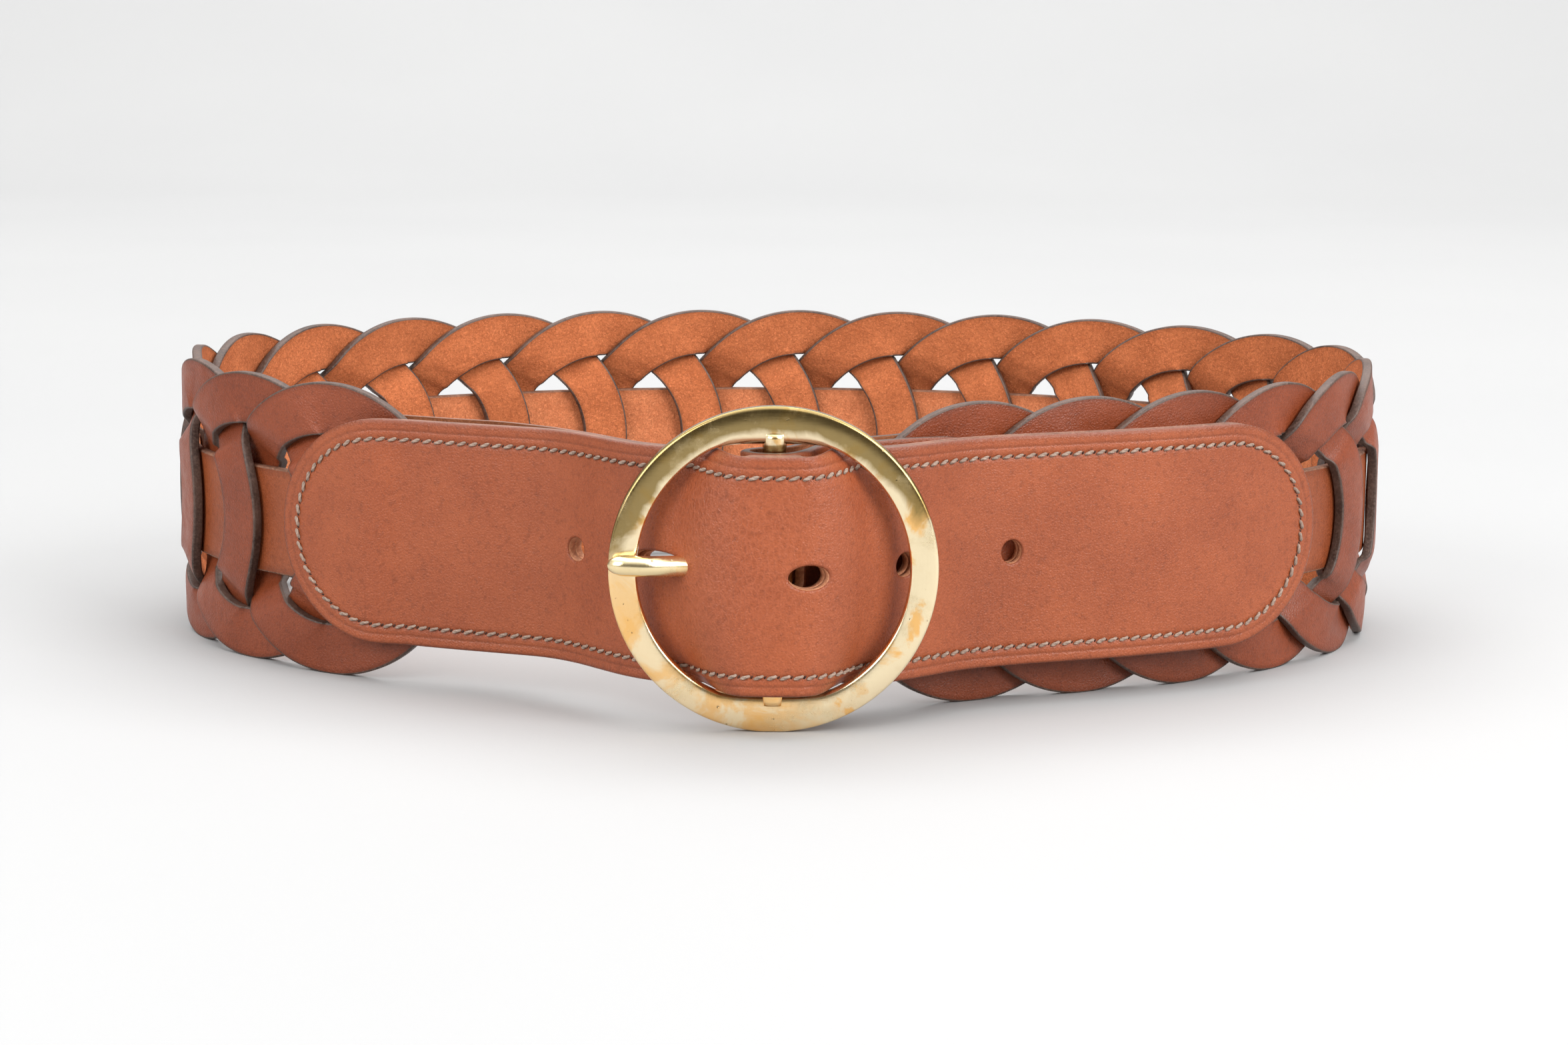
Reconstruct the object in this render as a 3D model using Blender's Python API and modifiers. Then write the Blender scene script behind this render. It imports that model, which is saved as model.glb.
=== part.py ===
"""Link belt of woven leather rings with a wide stitched billet and a round brass centre-bar buckle.

Metres, +Z up.  The belt stands on its lower edge and closes a loop; its front, with the buckle, faces -Y.
Distances along the belt ("reach") are measured on the middle of the strap, from the buckle's centre bar
towards -X, round the back and home from +X.  "Rise" is how far a surface lies outside that middle.
"""
import math

import bmesh
import bpy
import numpy as np

MM = 0.001

# The closed loop, seen from above: an ellipse, turned a little about the vertical, with a nose where
# the stiff billet stands the buckle out.
LOOP_HALF_LONG = 141.4 * MM
LOOP_HALF_SHORT = 89.9 * MM
LOOP_TILT = math.radians(2.5)
LOOP_CENTRE = (0.030 * MM, 17.521 * MM)       # puts the middle of the belt's box on the origin
BUCKLE_PLACE = math.radians(-92.3)       # where on the ellipse the centre bar stands
NOSE_RISE = 17.0 * MM
NOSE_SPREAD = 22.0 * MM                  # half the width of the nose at 0.6 of its height

# Rings and strap.
RING_COUNT = 23
RING_OUTER = 33.2 * MM
RING_BAND = 11.8 * MM
RING_INNER = RING_OUTER - RING_BAND
RING_PITCH = 26.75 * MM
FIRST_RING_REACH = 108.0 * MM
LEATHER = 2.3 * MM                       # ring and strap leather
SKIN_GAP = 0.5 * MM                      # clearance between woven layers
LAYER = LEATHER + SKIN_GAP
STRAP_HALF_WIDTH = 12.2 * MM
STRAP_STEP = 5.5 * MM
STRAP_FIRST_REACH = 93.0 * MM
STRAP_LAST_REACH = -32.2 * MM

# Billet: the stitched tab with the holes, face leather over a lining.
TAB_HALF_WIDTH = 25.2 * MM
FACE_LEATHER = 1.9 * MM
LINING_LEATHER = 1.5 * MM
PLATE_GAP = 0.72 * MM
BILLET_HEIGHT = 34.5 * MM                # height of its middle line
BILLET_LEFT_REACH = 116.8 * MM
BILLET_RIGHT_REACH = -130.5 * MM
BILLET_STEP = 7.0 * MM
HUMP_STEP = 2.4 * MM
HUMP_FLAT = 3.4 * MM                     # half the run over the chape's fold before the billet dips
HUMP_MARGIN = 2.9 * MM                   # it has dipped this far inside the frame's opening
HOLE_RADIUS = 2.6 * MM
PUNCH_DEPTH = 24.0 * MM
HOLE_REACHES = (43.0 * MM, -4.3 * MM, -22.8 * MM, -52.9 * MM)   # the plain holes

# Buckle.
FRAME_RADIUS = 34.6 * MM
FRAME_OPENING_RADIUS = 28.6 * MM
FRAME_OPENING_HALF_HEIGHT = 26.8 * MM
FRAME_THICKNESS = 3.5 * MM
FRAME_EDGE = 0.8 * MM
FRAME_SIDES = 48
FRAME_RISE = 11.0 * MM                   # centre bar outside the strap's middle
FRAME_HEIGHT = FRAME_RADIUS * math.cos(math.pi / FRAME_SIDES)
BAR_RADIUS = 2.5 * MM
BAR_INTO_FRAME = 2.5 * MM
LOOP_CLEARANCE = 0.3 * MM
PRONG_LOOP_WALL = 1.3 * MM
PRONG_LOOP_HALF_HEIGHT = 3.2 * MM
PRONG_RADIUS = 2.2 * MM
PRONG_TIP_RADIUS = 1.3 * MM
PRONG_LENGTH = 34.6 * MM
PRONG_TIP_RISE = 1.5 * MM                # the tip sits a little higher than the hole
PRONG_BEND_REACH = 15.0 * MM             # it turns outwards here
PRONG_CLIMB_REACH = 28.0 * MM            # and lies straight over the frame's side from here
PRONG_ON_FRAME = 0.3 * MM                # air between prong and frame
PRONG_TAPER = 1.5 * MM
PRONG_ROOT = 0.4 * MM                    # the body starts this deep in the loop's wall
PRONG_CLEARANCE = 0.35 * MM
PRONG_SWINGS = (-2.0, 0.0, 2.0, 4.0, 6.0)  # degrees the billet's slot leaves free

# Chape: the leather folded round the centre bar, holding the strap's other end.
CHAPE_LEATHER = 2.2 * MM
CHAPE_FOLD_RADIUS = 4.4 * MM             # middle of the leather
CHAPE_HEIGHT = FRAME_HEIGHT
CHAPE_REACH = -62.5 * MM
SLOT_HALF_HEIGHT = 4.2 * MM
SLOT_RUN = 18.0 * MM
SLOT_DEPTH = 22.0 * MM
SLOT_OFFSET = (1.0 * MM, 2.0 * MM)       # along the belt and inwards from the centre bar

# Thread.
STITCH_INSET = 4.6 * MM
THREAD_RADIUS = 0.35 * MM
THREAD_GAP = 0.35 * MM
STITCH_STEP = 5.0 * MM

RIM_SIDES = 30                           # sides of a full circle on a rounded tab end
FOOT_ANGLE = math.radians(84.0)          # a ring stands on the flat between 84 and 96 degrees
CROWN_ANGLE = math.radians(87.5)         # the same station on a ring's inner edge
LENS_SHARE = 0.33                        # where a bar has left the strap, from its edge to the crossing
# Rises of a ring's outer and inner edges from its bar to its crown, in layers.
OUTER_EDGE_RISES = (-1.0, -1.0, -1.0, -0.52, 0.68, 0.64, 0.58, 0.52, 0.34, 0.12)
INNER_EDGE_RISES = (-1.0, -1.0, -1.0, -0.50, 0.54, 0.54, 0.50, 0.38, 0.26, 0.12)
RING_HEIGHT = RING_OUTER * math.sin(FOOT_ANGLE)
LOOP_SAMPLES = 7200
WALK_STEP = 0.25 * MM                    # for slopes measured along the billet


def loop_walk():
    """Plan points and outward normals of the loop, and the reach at each."""
    angle = BUCKLE_PLACE - np.linspace(0.0, 2.0 * math.pi, LOOP_SAMPLES + 1)
    x = LOOP_HALF_LONG * np.cos(angle)
    y = LOOP_HALF_SHORT * np.sin(angle)
    nx = LOOP_HALF_SHORT * np.cos(angle)
    ny = LOOP_HALF_LONG * np.sin(angle)
    size = np.hypot(nx, ny)
    away = np.hypot(x - x[0], y - y[0])
    nose = NOSE_RISE * np.exp(-0.5 * (away / NOSE_SPREAD) ** 2)
    x += nose * nx / size
    y += nose * ny / size
    c, s = math.cos(LOOP_TILT), math.sin(LOOP_TILT)
    points = np.stack([x * c - y * s + LOOP_CENTRE[0], x * s + y * c + LOOP_CENTRE[1]], axis=1)
    ahead = np.roll(points[:-1], -1, axis=0) - np.roll(points[:-1], 1, axis=0)
    ahead = np.concatenate([ahead, ahead[:1]])
    normals = np.stack([ahead[:, 1], -ahead[:, 0]], axis=1) / np.hypot(*ahead.T)[:, None]
    normals *= np.sign(normals[0] @ points[0])
    steps = np.hypot(*np.diff(points, axis=0).T)
    return np.concatenate([[0.0], np.cumsum(steps)]), points, normals


LOOP_REACH, LOOP_POINTS, LOOP_NORMALS = loop_walk()
LOOP_LENGTH = LOOP_REACH[-1]


def on_loop(table, reach):
    """Value of a loop table at a reach, which may be negative."""
    reach = reach % LOOP_LENGTH
    return np.array([np.interp(reach, LOOP_REACH, table[:, k]) for k in range(2)])


def plan(reach, rise):
    """Plan point at a reach along the belt and a rise outside the strap's middle."""
    return on_loop(LOOP_POINTS, reach) + on_loop(LOOP_NORMALS, reach) * rise


def ease(fraction):
    """Smooth step from 0 to 1."""
    fraction = min(max(fraction, 0.0), 1.0)
    return fraction * fraction * (3.0 - 2.0 * fraction)


def along(stations, reach):
    """Eased value between named (reach, value) stations, which run in rising reach."""
    for (low, low_value), (high, high_value) in zip(stations, stations[1:]):
        if reach <= high:
            return low_value + (high_value - low_value) * ease((reach - low) / (high - low))
    return stations[-1][1]


def clear_scene():
    for obj in list(bpy.data.objects):
        bpy.data.objects.remove(obj, do_unlink=True)


def new_collection(name):
    collection = bpy.data.collections.new(name)
    bpy.context.scene.collection.children.link(collection)
    return collection


def material(name, colour, roughness, metallic=0.0):
    mat = bpy.data.materials.new(name)
    mat.use_nodes = True
    shader = mat.node_tree.nodes["Principled BSDF"]
    shader.inputs["Base Color"].default_value = (*colour, 1.0)
    shader.inputs["Roughness"].default_value = roughness
    shader.inputs["Metallic"].default_value = metallic
    return mat


def add_object(name, data, collection, mat=None):
    obj = bpy.data.objects.new(name, data)
    collection.objects.link(obj)
    if mat is not None:
        data.materials.append(mat)
    return obj


def as_mesh(source, collection, mat=None):
    """Replace a curve object by a welded mesh object of the same name and place."""
    bpy.context.view_layer.update()
    name = source.name
    graph = bpy.context.evaluated_depsgraph_get()
    mesh = bpy.data.meshes.new_from_object(source.evaluated_get(graph))
    matrix = source.matrix_world.copy()
    bpy.data.objects.remove(source, do_unlink=True)
    weld = bmesh.new()
    weld.from_mesh(mesh)
    bmesh.ops.remove_doubles(weld, verts=weld.verts, dist=0.00001)
    bmesh.ops.recalc_face_normals(weld, faces=weld.faces)
    weld.to_mesh(mesh)
    weld.free()
    mesh.materials.clear()
    obj = add_object(name, mesh, collection, mat)
    obj.matrix_world = matrix
    return obj


def make_cutter(obj, collection):
    """Keep a tool object in the cutters' collection, out of renders."""
    for owner in list(obj.users_collection):
        owner.objects.unlink(obj)
    collection.objects.link(obj)
    obj.hide_render = True
    obj.display_type = "WIRE"


def boolean(obj, tool, operation, solver="EXACT"):
    mod = obj.modifiers.new(operation.title(), "BOOLEAN")
    mod.operation = operation
    mod.solver = solver
    mod.object = tool


def smooth(mesh, limit=35.0):
    mesh.shade_smooth()
    mesh.set_sharp_from_angle(angle=math.radians(limit))


# ---------------------------------------------------------------- rings

def ring_quarter(free_end):
    """Stations of a quarter ring, from the bar (0 degrees) to the crown.

    Each is (outer angle, inner angle, outer rise, inner rise), the rises in layers and for the
    side whose bar passes inside the strap.  A free end has no neighbour, so it stays in line.
    """
    strap_edge = STRAP_HALF_WIDTH + SKIN_GAP
    strap_out = math.asin(strap_edge / RING_OUTER)
    strap_in = math.asin(strap_edge / RING_INNER)
    lens_out = math.acos(RING_PITCH / RING_OUTER)
    spread = RING_OUTER ** 2 - RING_INNER ** 2
    cross_out = math.acos((RING_PITCH ** 2 + spread) / (2.0 * RING_PITCH * RING_OUTER))
    cross_in = math.acos(RING_PITCH / (2.0 * RING_INNER))
    leave_out = math.acos(RING_PITCH / (2.0 * RING_OUTER))
    leave_in = math.acos((RING_PITCH ** 2 - spread) / (2.0 * RING_PITCH * RING_INNER))
    lens_in = strap_in + LENS_SHARE * (cross_in - strap_in)
    outer = [0.0, 0.5 * strap_out, strap_out, lens_out, cross_out]
    inner = [0.0, 0.5 * strap_in, strap_in, lens_in, cross_in]
    for part in (1.0 / 3.0, 2.0 / 3.0, 1.0):
        outer.append(cross_out + part * (leave_out - cross_out))
        inner.append(cross_in + part * (leave_in - cross_in))
    outer += [0.5 * (leave_out + FOOT_ANGLE), FOOT_ANGLE]
    inner += [0.5 * (leave_in + CROWN_ANGLE), CROWN_ANGLE]
    layers = 0.0 if free_end else 1.0
    outer_rise = [layers * rise for rise in OUTER_EDGE_RISES]
    inner_rise = [layers * rise for rise in INNER_EDGE_RISES]
    return list(zip(outer, inner, outer_rise, inner_rise))


def ring_stations(first, last):
    """All stations round a ring, counterclockwise from its far bar's middle."""
    far = ring_quarter(last)
    near = [(math.pi - o, math.pi - i, -ro, -ri) for o, i, ro, ri in reversed(ring_quarter(first))]
    upper = far + near
    lower = [(-o, -i, ro, ri) for o, i, ro, ri in reversed(upper[1:-1])]
    return upper + lower


def ring_link(number, collection, mat):
    """One woven ring: an annulus whose section slides in and out along the loop's normal."""
    middle = FIRST_RING_REACH + (number - 1) * RING_PITCH
    stations = ring_stations(number == 1, number == RING_COUNT)
    sections = []
    for outer_angle, inner_angle, outer_rise, inner_rise in stations:
        rims = ((RING_OUTER, outer_angle, outer_rise), (RING_INNER, inner_angle, inner_rise))
        section = []
        for side in (0.5, -0.5):
            for radius, angle, rise in rims:
                reach = middle + radius * math.cos(angle)
                x, y = plan(reach, rise * LAYER + side * LEATHER)
                section.append((x, y, RING_HEIGHT + radius * math.sin(angle)))
        sections.append([section[0], section[1], section[3], section[2]])
    mesh = loft(f"ring_link_{number:02d}", sections)
    add_object(mesh.name, mesh, collection, mat)


def loft(name, sections):
    """Closed band of quads through four-cornered sections."""
    shape = bmesh.new()
    rows = [[shape.verts.new(corner) for corner in section] for section in sections]
    for row, following in zip(rows, rows[1:] + rows[:1]):
        for k in range(4):
            shape.faces.new((row[k], row[k - 3], following[k - 3], following[k]))
    bmesh.ops.recalc_face_normals(shape, faces=shape.faces)
    mesh = bpy.data.meshes.new(name)
    shape.to_mesh(mesh)
    shape.free()
    smooth(mesh)
    return mesh


# ---------------------------------------------------------------- ribbons

def ribbon(name, columns, thickness, collection, mat):
    """Upright leather ribbon through columns of points, each listed from the lower edge up."""
    shape = bmesh.new()
    rows = [[shape.verts.new(point) for point in column] for column in columns]
    for row, following in zip(rows, rows[1:]):
        for k in range(len(row) - 1):
            shape.faces.new((row[k], row[k + 1], following[k + 1], following[k]))
    mesh = bpy.data.meshes.new(name)
    shape.to_mesh(mesh)
    shape.free()
    smooth(mesh)
    obj = add_object(name, mesh, collection, mat)
    solid = obj.modifiers.new("Leather", "SOLIDIFY")
    solid.thickness = thickness
    solid.offset = 0.0
    solid.use_even_offset = True
    return obj


def spaced(start, end, step):
    count = max(2, int(round(abs(end - start) / step)) + 1)
    return list(np.linspace(start, end, count))


def rounded_end(radius):
    """(distance from the tip, half width) of the columns over one rounded end."""
    turn = 2.0 * math.pi / RIM_SIDES
    angles = [(k + 0.5) * turn for k in range(RIM_SIDES // 4)]
    return [(radius * (1.0 - math.cos(a)), radius * math.sin(a)) for a in angles]


def centre_strap(collection, mat):
    reaches = spaced(STRAP_FIRST_REACH, LOOP_LENGTH + STRAP_LAST_REACH, STRAP_STEP)
    low = RING_HEIGHT - STRAP_HALF_WIDTH
    high = RING_HEIGHT + STRAP_HALF_WIDTH
    columns = [[(*plan(reach, 0.0), low), (*plan(reach, 0.0), high)] for reach in reaches]
    return ribbon("centre_strap", columns, LEATHER, collection, mat)


# ---------------------------------------------------------------- billet

# Rise of the middle of the face leather away from the buckle: over the rings' outer bars on the right,
# under the frame's sides, and over the first two rings on the left.
BILLET_RISES = [(BILLET_RIGHT_REACH, 9.1 * MM), (-45.0 * MM, 9.1 * MM), (-20.0 * MM, 12.0 * MM),
                (-12.0 * MM, 8.9 * MM), (0.0, 7.9 * MM), (12.0 * MM, 8.9 * MM), (20.0 * MM, 12.0 * MM),
                (56.0 * MM, 3.0 * MM), (84.0 * MM, 3.0 * MM), (98.0 * MM, 5.4 * MM),
                (BILLET_LEFT_REACH, 5.4 * MM)]
HUMP_RISE = 20.0 * MM                   # over the chape's fold at the centre bar
LINING_PARTS_REACH = (46.0 * MM, 69.0 * MM)   # here the lining leaves the face to pass behind the strap
LINING_BEHIND_STRAP = -3.9 * MM
SEAM_ROW = 1.0 - STITCH_INSET / TAB_HALF_WIDTH
BILLET_ROWS = (-1.0, -SEAM_ROW, -SEAM_ROW / 2.0, SEAM_ROW / 2.0, SEAM_ROW, 1.0)


def face_rise(reach, height):
    """The billet climbs over the centre bar inside the round opening, so the hump narrows to its edges."""
    level = min(abs(height - FRAME_HEIGHT), TAB_HALF_WIDTH)
    dip = math.sqrt(FRAME_OPENING_RADIUS ** 2 - level ** 2) - HUMP_MARGIN
    hump = 1.0 - ease((abs(reach) - HUMP_FLAT) / (dip - HUMP_FLAT))
    base = along(BILLET_RISES, reach)
    return base + (HUMP_RISE - base) * hump


def face_point(reach, height):
    return np.array([*plan(reach, face_rise(reach, height)), height])


def face_normal(reach, height):
    """Outward normal of the face leather."""
    step = WALK_STEP
    ahead = face_point(reach + step, height) - face_point(reach - step, height)
    up = face_point(reach, height + step) - face_point(reach, height - step)
    normal = np.cross(up, ahead)
    normal /= np.linalg.norm(normal)
    return normal if normal[:2] @ on_loop(LOOP_NORMALS, reach) > 0.0 else -normal


def beside_face(reach, height, offset):
    """Point at a distance outside the middle of the billet's face leather."""
    return face_point(reach, height) + face_normal(reach, height) * offset


def lining_point(reach, height):
    pressed = (FACE_LEATHER + LINING_LEATHER) / 2.0 + PLATE_GAP
    parted = along(BILLET_RISES, reach) - LINING_BEHIND_STRAP
    start, end = LINING_PARTS_REACH
    return beside_face(reach, height, -(pressed + (parted - pressed) * ease((reach - start) / (end - start))))


def billet_straight():
    """Reaches between the rounded ends, closer together where the billet climbs over the centre bar."""
    right, left = BILLET_RIGHT_REACH + TAB_HALF_WIDTH, BILLET_LEFT_REACH - TAB_HALF_WIDTH
    hump = FRAME_OPENING_RADIUS
    return (spaced(right, -hump, BILLET_STEP) + spaced(-hump, hump, HUMP_STEP)[1:-1]
            + spaced(hump, left, BILLET_STEP))


def billet_columns(point_at):
    """Columns of the long tab with two rounded ends."""
    ends = rounded_end(TAB_HALF_WIDTH)
    straight = billet_straight()
    outline = [(BILLET_RIGHT_REACH + run, half) for run, half in ends]
    outline += [(reach, TAB_HALF_WIDTH) for reach in straight]
    outline += [(BILLET_LEFT_REACH - run, half) for run, half in reversed(ends)]
    return [[point_at(reach, BILLET_HEIGHT + row * half) for row in BILLET_ROWS] for reach, half in outline]


def punch(name, reach, collection):
    """Cylinder through both billet leathers, square to the surface."""
    out = face_normal(reach, BILLET_HEIGHT)
    bpy.ops.mesh.primitive_cylinder_add(vertices=16, radius=HOLE_RADIUS, depth=PUNCH_DEPTH)
    tool = bpy.context.object
    tool.name = name
    tool.rotation_euler = (math.pi / 2.0, 0.0, math.atan2(out[0], -out[1]))
    tool.location = face_point(reach, BILLET_HEIGHT)
    make_cutter(tool, collection)
    return tool


def billet_cutters(buckle, cutters):
    """Punches for the plain holes and the prong's clearance in the hole in use."""
    tools = []
    for number, reach in enumerate(HOLE_REACHES, 1):
        tools.append(punch(f"hole_punch_{number}", reach, cutters))
    for swing in PRONG_SWINGS:
        tool = prong_tube(f"prong_way_{swing:+.0f}", PRONG_CLEARANCE, cutters)
        tool = as_mesh(tool, cutters)
        tool.parent = buckle
        tool.location = (0.0, 0.0, BILLET_HEIGHT - FRAME_HEIGHT)
        tool.rotation_euler = (0.0, 0.0, math.radians(swing))
        make_cutter(tool, cutters)
        tools.append(tool)
    return tools


def billet(buckle, collection, cutters, face_mat, lining_mat):
    face = ribbon("billet_face", billet_columns(face_point), FACE_LEATHER, collection, face_mat)
    lining = ribbon("billet_lining", billet_columns(lining_point), LINING_LEATHER, collection, lining_mat)
    for tool in billet_cutters(buckle, cutters):
        boolean(face, tool, "DIFFERENCE", "MANIFOLD")
        boolean(lining, tool, "DIFFERENCE", "MANIFOLD")


def thread(name, points, closed, collection, mat):
    """Line of sewing thread through world points."""
    curve = bpy.data.curves.new(name, "CURVE")
    curve.dimensions = "3D"
    curve.bevel_depth = THREAD_RADIUS
    curve.bevel_resolution = 0
    curve.use_fill_caps = not closed
    spline = curve.splines.new("POLY")
    spline.points.add(len(points) - 1)
    for target, point in zip(spline.points, points):
        target.co = (*point, 1.0)
    spline.use_cyclic_u = closed
    return as_mesh(add_object(name, curve, collection), collection, mat)


def seam_end(tip, inward, middle_height):
    """(reach, height) round a tab's end, inset from its edge, from the lower side up."""
    half = TAB_HALF_WIDTH - STITCH_INSET
    turn = 2.0 * math.pi / RIM_SIDES
    angles = [(k + 0.5) * turn for k in range(RIM_SIDES // 2)]
    centre = tip + inward * TAB_HALF_WIDTH
    return [(centre - inward * half * math.sin(a), middle_height - half * math.cos(a)) for a in angles]


def billet_stitching(collection, mat):
    lift = FACE_LEATHER / 2.0 + THREAD_GAP + THREAD_RADIUS
    half = TAB_HALF_WIDTH - STITCH_INSET
    straight = billet_straight()
    outline = seam_end(BILLET_RIGHT_REACH, 1.0, BILLET_HEIGHT)
    outline += [(reach, BILLET_HEIGHT + half) for reach in straight]
    outline += reversed(seam_end(BILLET_LEFT_REACH, -1.0, BILLET_HEIGHT))
    outline += [(reach, BILLET_HEIGHT - half) for reach in reversed(straight)]
    points = [beside_face(reach, height, lift) for reach, height in outline]
    thread("billet_stitching", points, True, collection, mat)


# ---------------------------------------------------------------- chape

# Rises of the middle of each leaf: round ring bars, over and under the strap's end, up to the fold.
CHAPE_INNER_RISES = [(-40.0 * MM, -5.6 * MM), (-29.0 * MM, -2.9 * MM), (-10.0 * MM, -2.9 * MM),
                     (0.0, FRAME_RISE - CHAPE_FOLD_RADIUS)]
CHAPE_OUTER_RISES = [(-40.0 * MM, 4.7 * MM), (-28.0 * MM, 2.8 * MM), (-10.8 * MM, 2.8 * MM),
                     (-0.5 * MM, FRAME_RISE + CHAPE_FOLD_RADIUS)]
CHAPE_STEP = 2.4 * MM
FOLD_STEPS = 6
CHAPE_SEAM_END = -14.0 * MM


def chape_rise(stations, reach):
    return stations[0][1] if reach < stations[0][0] else along(stations, reach)


def chape_columns():
    """Outer leaf from its rounded end to the centre bar, round the bar, and the inner leaf back."""
    end = rounded_end(TAB_HALF_WIDTH)
    leaf = [(CHAPE_REACH + run, half) for run, half in end]
    leaf += [(reach, TAB_HALF_WIDTH) for reach in spaced(CHAPE_REACH + TAB_HALF_WIDTH, 0.0, CHAPE_STEP)]
    columns = [(plan(reach, chape_rise(CHAPE_OUTER_RISES, reach)), half) for reach, half in leaf]
    for k in range(1, FOLD_STEPS):
        turn = math.pi * k / FOLD_STEPS
        reach = CHAPE_FOLD_RADIUS * math.sin(turn)
        columns.append((plan(reach, FRAME_RISE + CHAPE_FOLD_RADIUS * math.cos(turn)), TAB_HALF_WIDTH))
    columns += [(plan(reach, chape_rise(CHAPE_INNER_RISES, reach)), half) for reach, half in reversed(leaf)]
    return [[(*point, CHAPE_HEIGHT - half), (*point, CHAPE_HEIGHT + half)] for point, half in columns]


def chape(buckle, collection, cutters, mat):
    body = ribbon("chape", chape_columns(), CHAPE_LEATHER, collection, mat)
    bpy.ops.mesh.primitive_cube_add(size=1.0)
    slot = bpy.context.object
    slot.name = "prong_slot"
    slot.parent = buckle
    slot.location = (*SLOT_OFFSET, BILLET_HEIGHT - FRAME_HEIGHT)
    slot.scale = (SLOT_RUN, SLOT_DEPTH, 2.0 * SLOT_HALF_HEIGHT)
    make_cutter(slot, cutters)
    boolean(body, slot, "DIFFERENCE")


def chape_stitching(collection, mat):
    lift = CHAPE_LEATHER / 2.0 + THREAD_GAP + THREAD_RADIUS
    half = TAB_HALF_WIDTH - STITCH_INSET
    straight = spaced(CHAPE_REACH + TAB_HALF_WIDTH, CHAPE_SEAM_END, STITCH_STEP)
    outline = [(reach, CHAPE_HEIGHT - half) for reach in reversed(straight)]
    outline += seam_end(CHAPE_REACH, 1.0, CHAPE_HEIGHT)
    outline += [(reach, CHAPE_HEIGHT + half) for reach in straight]
    points = [(*plan(reach, chape_rise(CHAPE_INNER_RISES, reach) - lift), z) for reach, z in outline]
    thread("chape_stitching", points, False, collection, mat)


# ---------------------------------------------------------------- buckle

def buckle_axis(collection):
    """Empty on the centre bar; its X runs to the right along the belt and its -Y points outwards."""
    out = on_loop(LOOP_NORMALS, 0.0)
    axis = bpy.data.objects.new("buckle_axis", None)
    collection.objects.link(axis)
    x, y = plan(0.0, FRAME_RISE)
    axis.location = (x, y, FRAME_HEIGHT)
    axis.rotation_euler = (0.0, 0.0, math.atan2(out[0], -out[1]))
    bpy.context.view_layer.update()
    return axis


def rim_outline():
    """Outer circle of the frame, with a flat side facing the ground."""
    turn = 2.0 * math.pi / FRAME_SIDES
    angles = [(k + 0.5) * turn for k in range(FRAME_SIDES)]
    return [(FRAME_RADIUS * math.cos(a), FRAME_RADIUS * math.sin(a)) for a in angles]


def opening_outline():
    """Two side arcs joined by the flats at the top and the bottom of the opening."""
    limit = math.asin(FRAME_OPENING_HALF_HEIGHT / FRAME_OPENING_RADIUS)
    arc = np.linspace(-limit, limit, FRAME_SIDES // 2 - 6)
    angles = list(arc) + list(arc + math.pi)
    return [(FRAME_OPENING_RADIUS * math.cos(a), FRAME_OPENING_RADIUS * math.sin(a)) for a in angles]


def buckle_frame(axis, collection, cutters, mat):
    curve = bpy.data.curves.new("buckle_frame", "CURVE")
    curve.dimensions = "2D"
    curve.fill_mode = "BOTH"
    curve.extrude = FRAME_THICKNESS / 2.0
    for outline in (rim_outline(), opening_outline()):
        spline = curve.splines.new("POLY")
        spline.points.add(len(outline) - 1)
        for target, (x, y) in zip(spline.points, outline):
            target.co = (x, y, 0.0, 1.0)
        spline.use_cyclic_u = True
    flat = add_object("buckle_frame", curve, collection)
    frame = as_mesh(flat, collection, mat)
    frame.parent = axis
    frame.rotation_euler = (math.pi / 2.0, 0.0, 0.0)
    smooth(frame.data)
    edge = frame.modifiers.new("Edge", "BEVEL")
    edge.width = FRAME_EDGE
    edge.segments = 1
    edge.limit_method = "ANGLE"
    edge.angle_limit = math.radians(50.0)
    bpy.ops.mesh.primitive_cylinder_add(vertices=24, radius=BAR_RADIUS,
                                        depth=2.0 * (FRAME_OPENING_HALF_HEIGHT + BAR_INTO_FRAME))
    bar = bpy.context.object
    bar.name = "centre_bar"
    bar.parent = axis
    make_cutter(bar, cutters)
    boolean(frame, bar, "UNION", "MANIFOLD")


def prong_points():
    """(distance to the left, outward distance, rise, radius) down the prong's middle."""
    low = BAR_RADIUS + LOOP_CLEARANCE + PRONG_ROOT
    bend, climb = PRONG_BEND_REACH, PRONG_CLIMB_REACH
    top = FRAME_THICKNESS / 2.0 + PRONG_ON_FRAME + PRONG_RADIUS
    points = []
    for run in list(np.linspace(low, bend, 3)) + list(np.linspace(bend, climb, 7))[1:]:
        points.append((run, top * ease((run - bend) / (climb - bend)), PRONG_RADIUS))
    points.append((PRONG_LENGTH - 2.0 * PRONG_TAPER, top, PRONG_RADIUS))
    shoulder = (PRONG_RADIUS + PRONG_TIP_RADIUS) / 2.0
    points.append((PRONG_LENGTH - PRONG_TAPER, top - PRONG_ON_FRAME, shoulder))
    points.append((PRONG_LENGTH, top - 2.0 * PRONG_ON_FRAME, PRONG_TIP_RADIUS))
    return [(run, out, PRONG_TIP_RISE * ease(run / PRONG_LENGTH), radius) for run, out, radius in points]


def prong_tube(name, extra, collection):
    """The prong's body, or the same body grown by a clearance."""
    curve = bpy.data.curves.new(name, "CURVE")
    curve.dimensions = "3D"
    curve.bevel_depth = 1.0
    curve.bevel_resolution = 2
    curve.use_fill_caps = True
    points = prong_points()
    spline = curve.splines.new("POLY")
    spline.points.add(len(points) - 1)
    for target, (run, out, rise, radius) in zip(spline.points, points):
        target.co = (-run, -out, rise, 1.0)
        target.radius = radius + extra
    return add_object(name, curve, collection)


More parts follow.
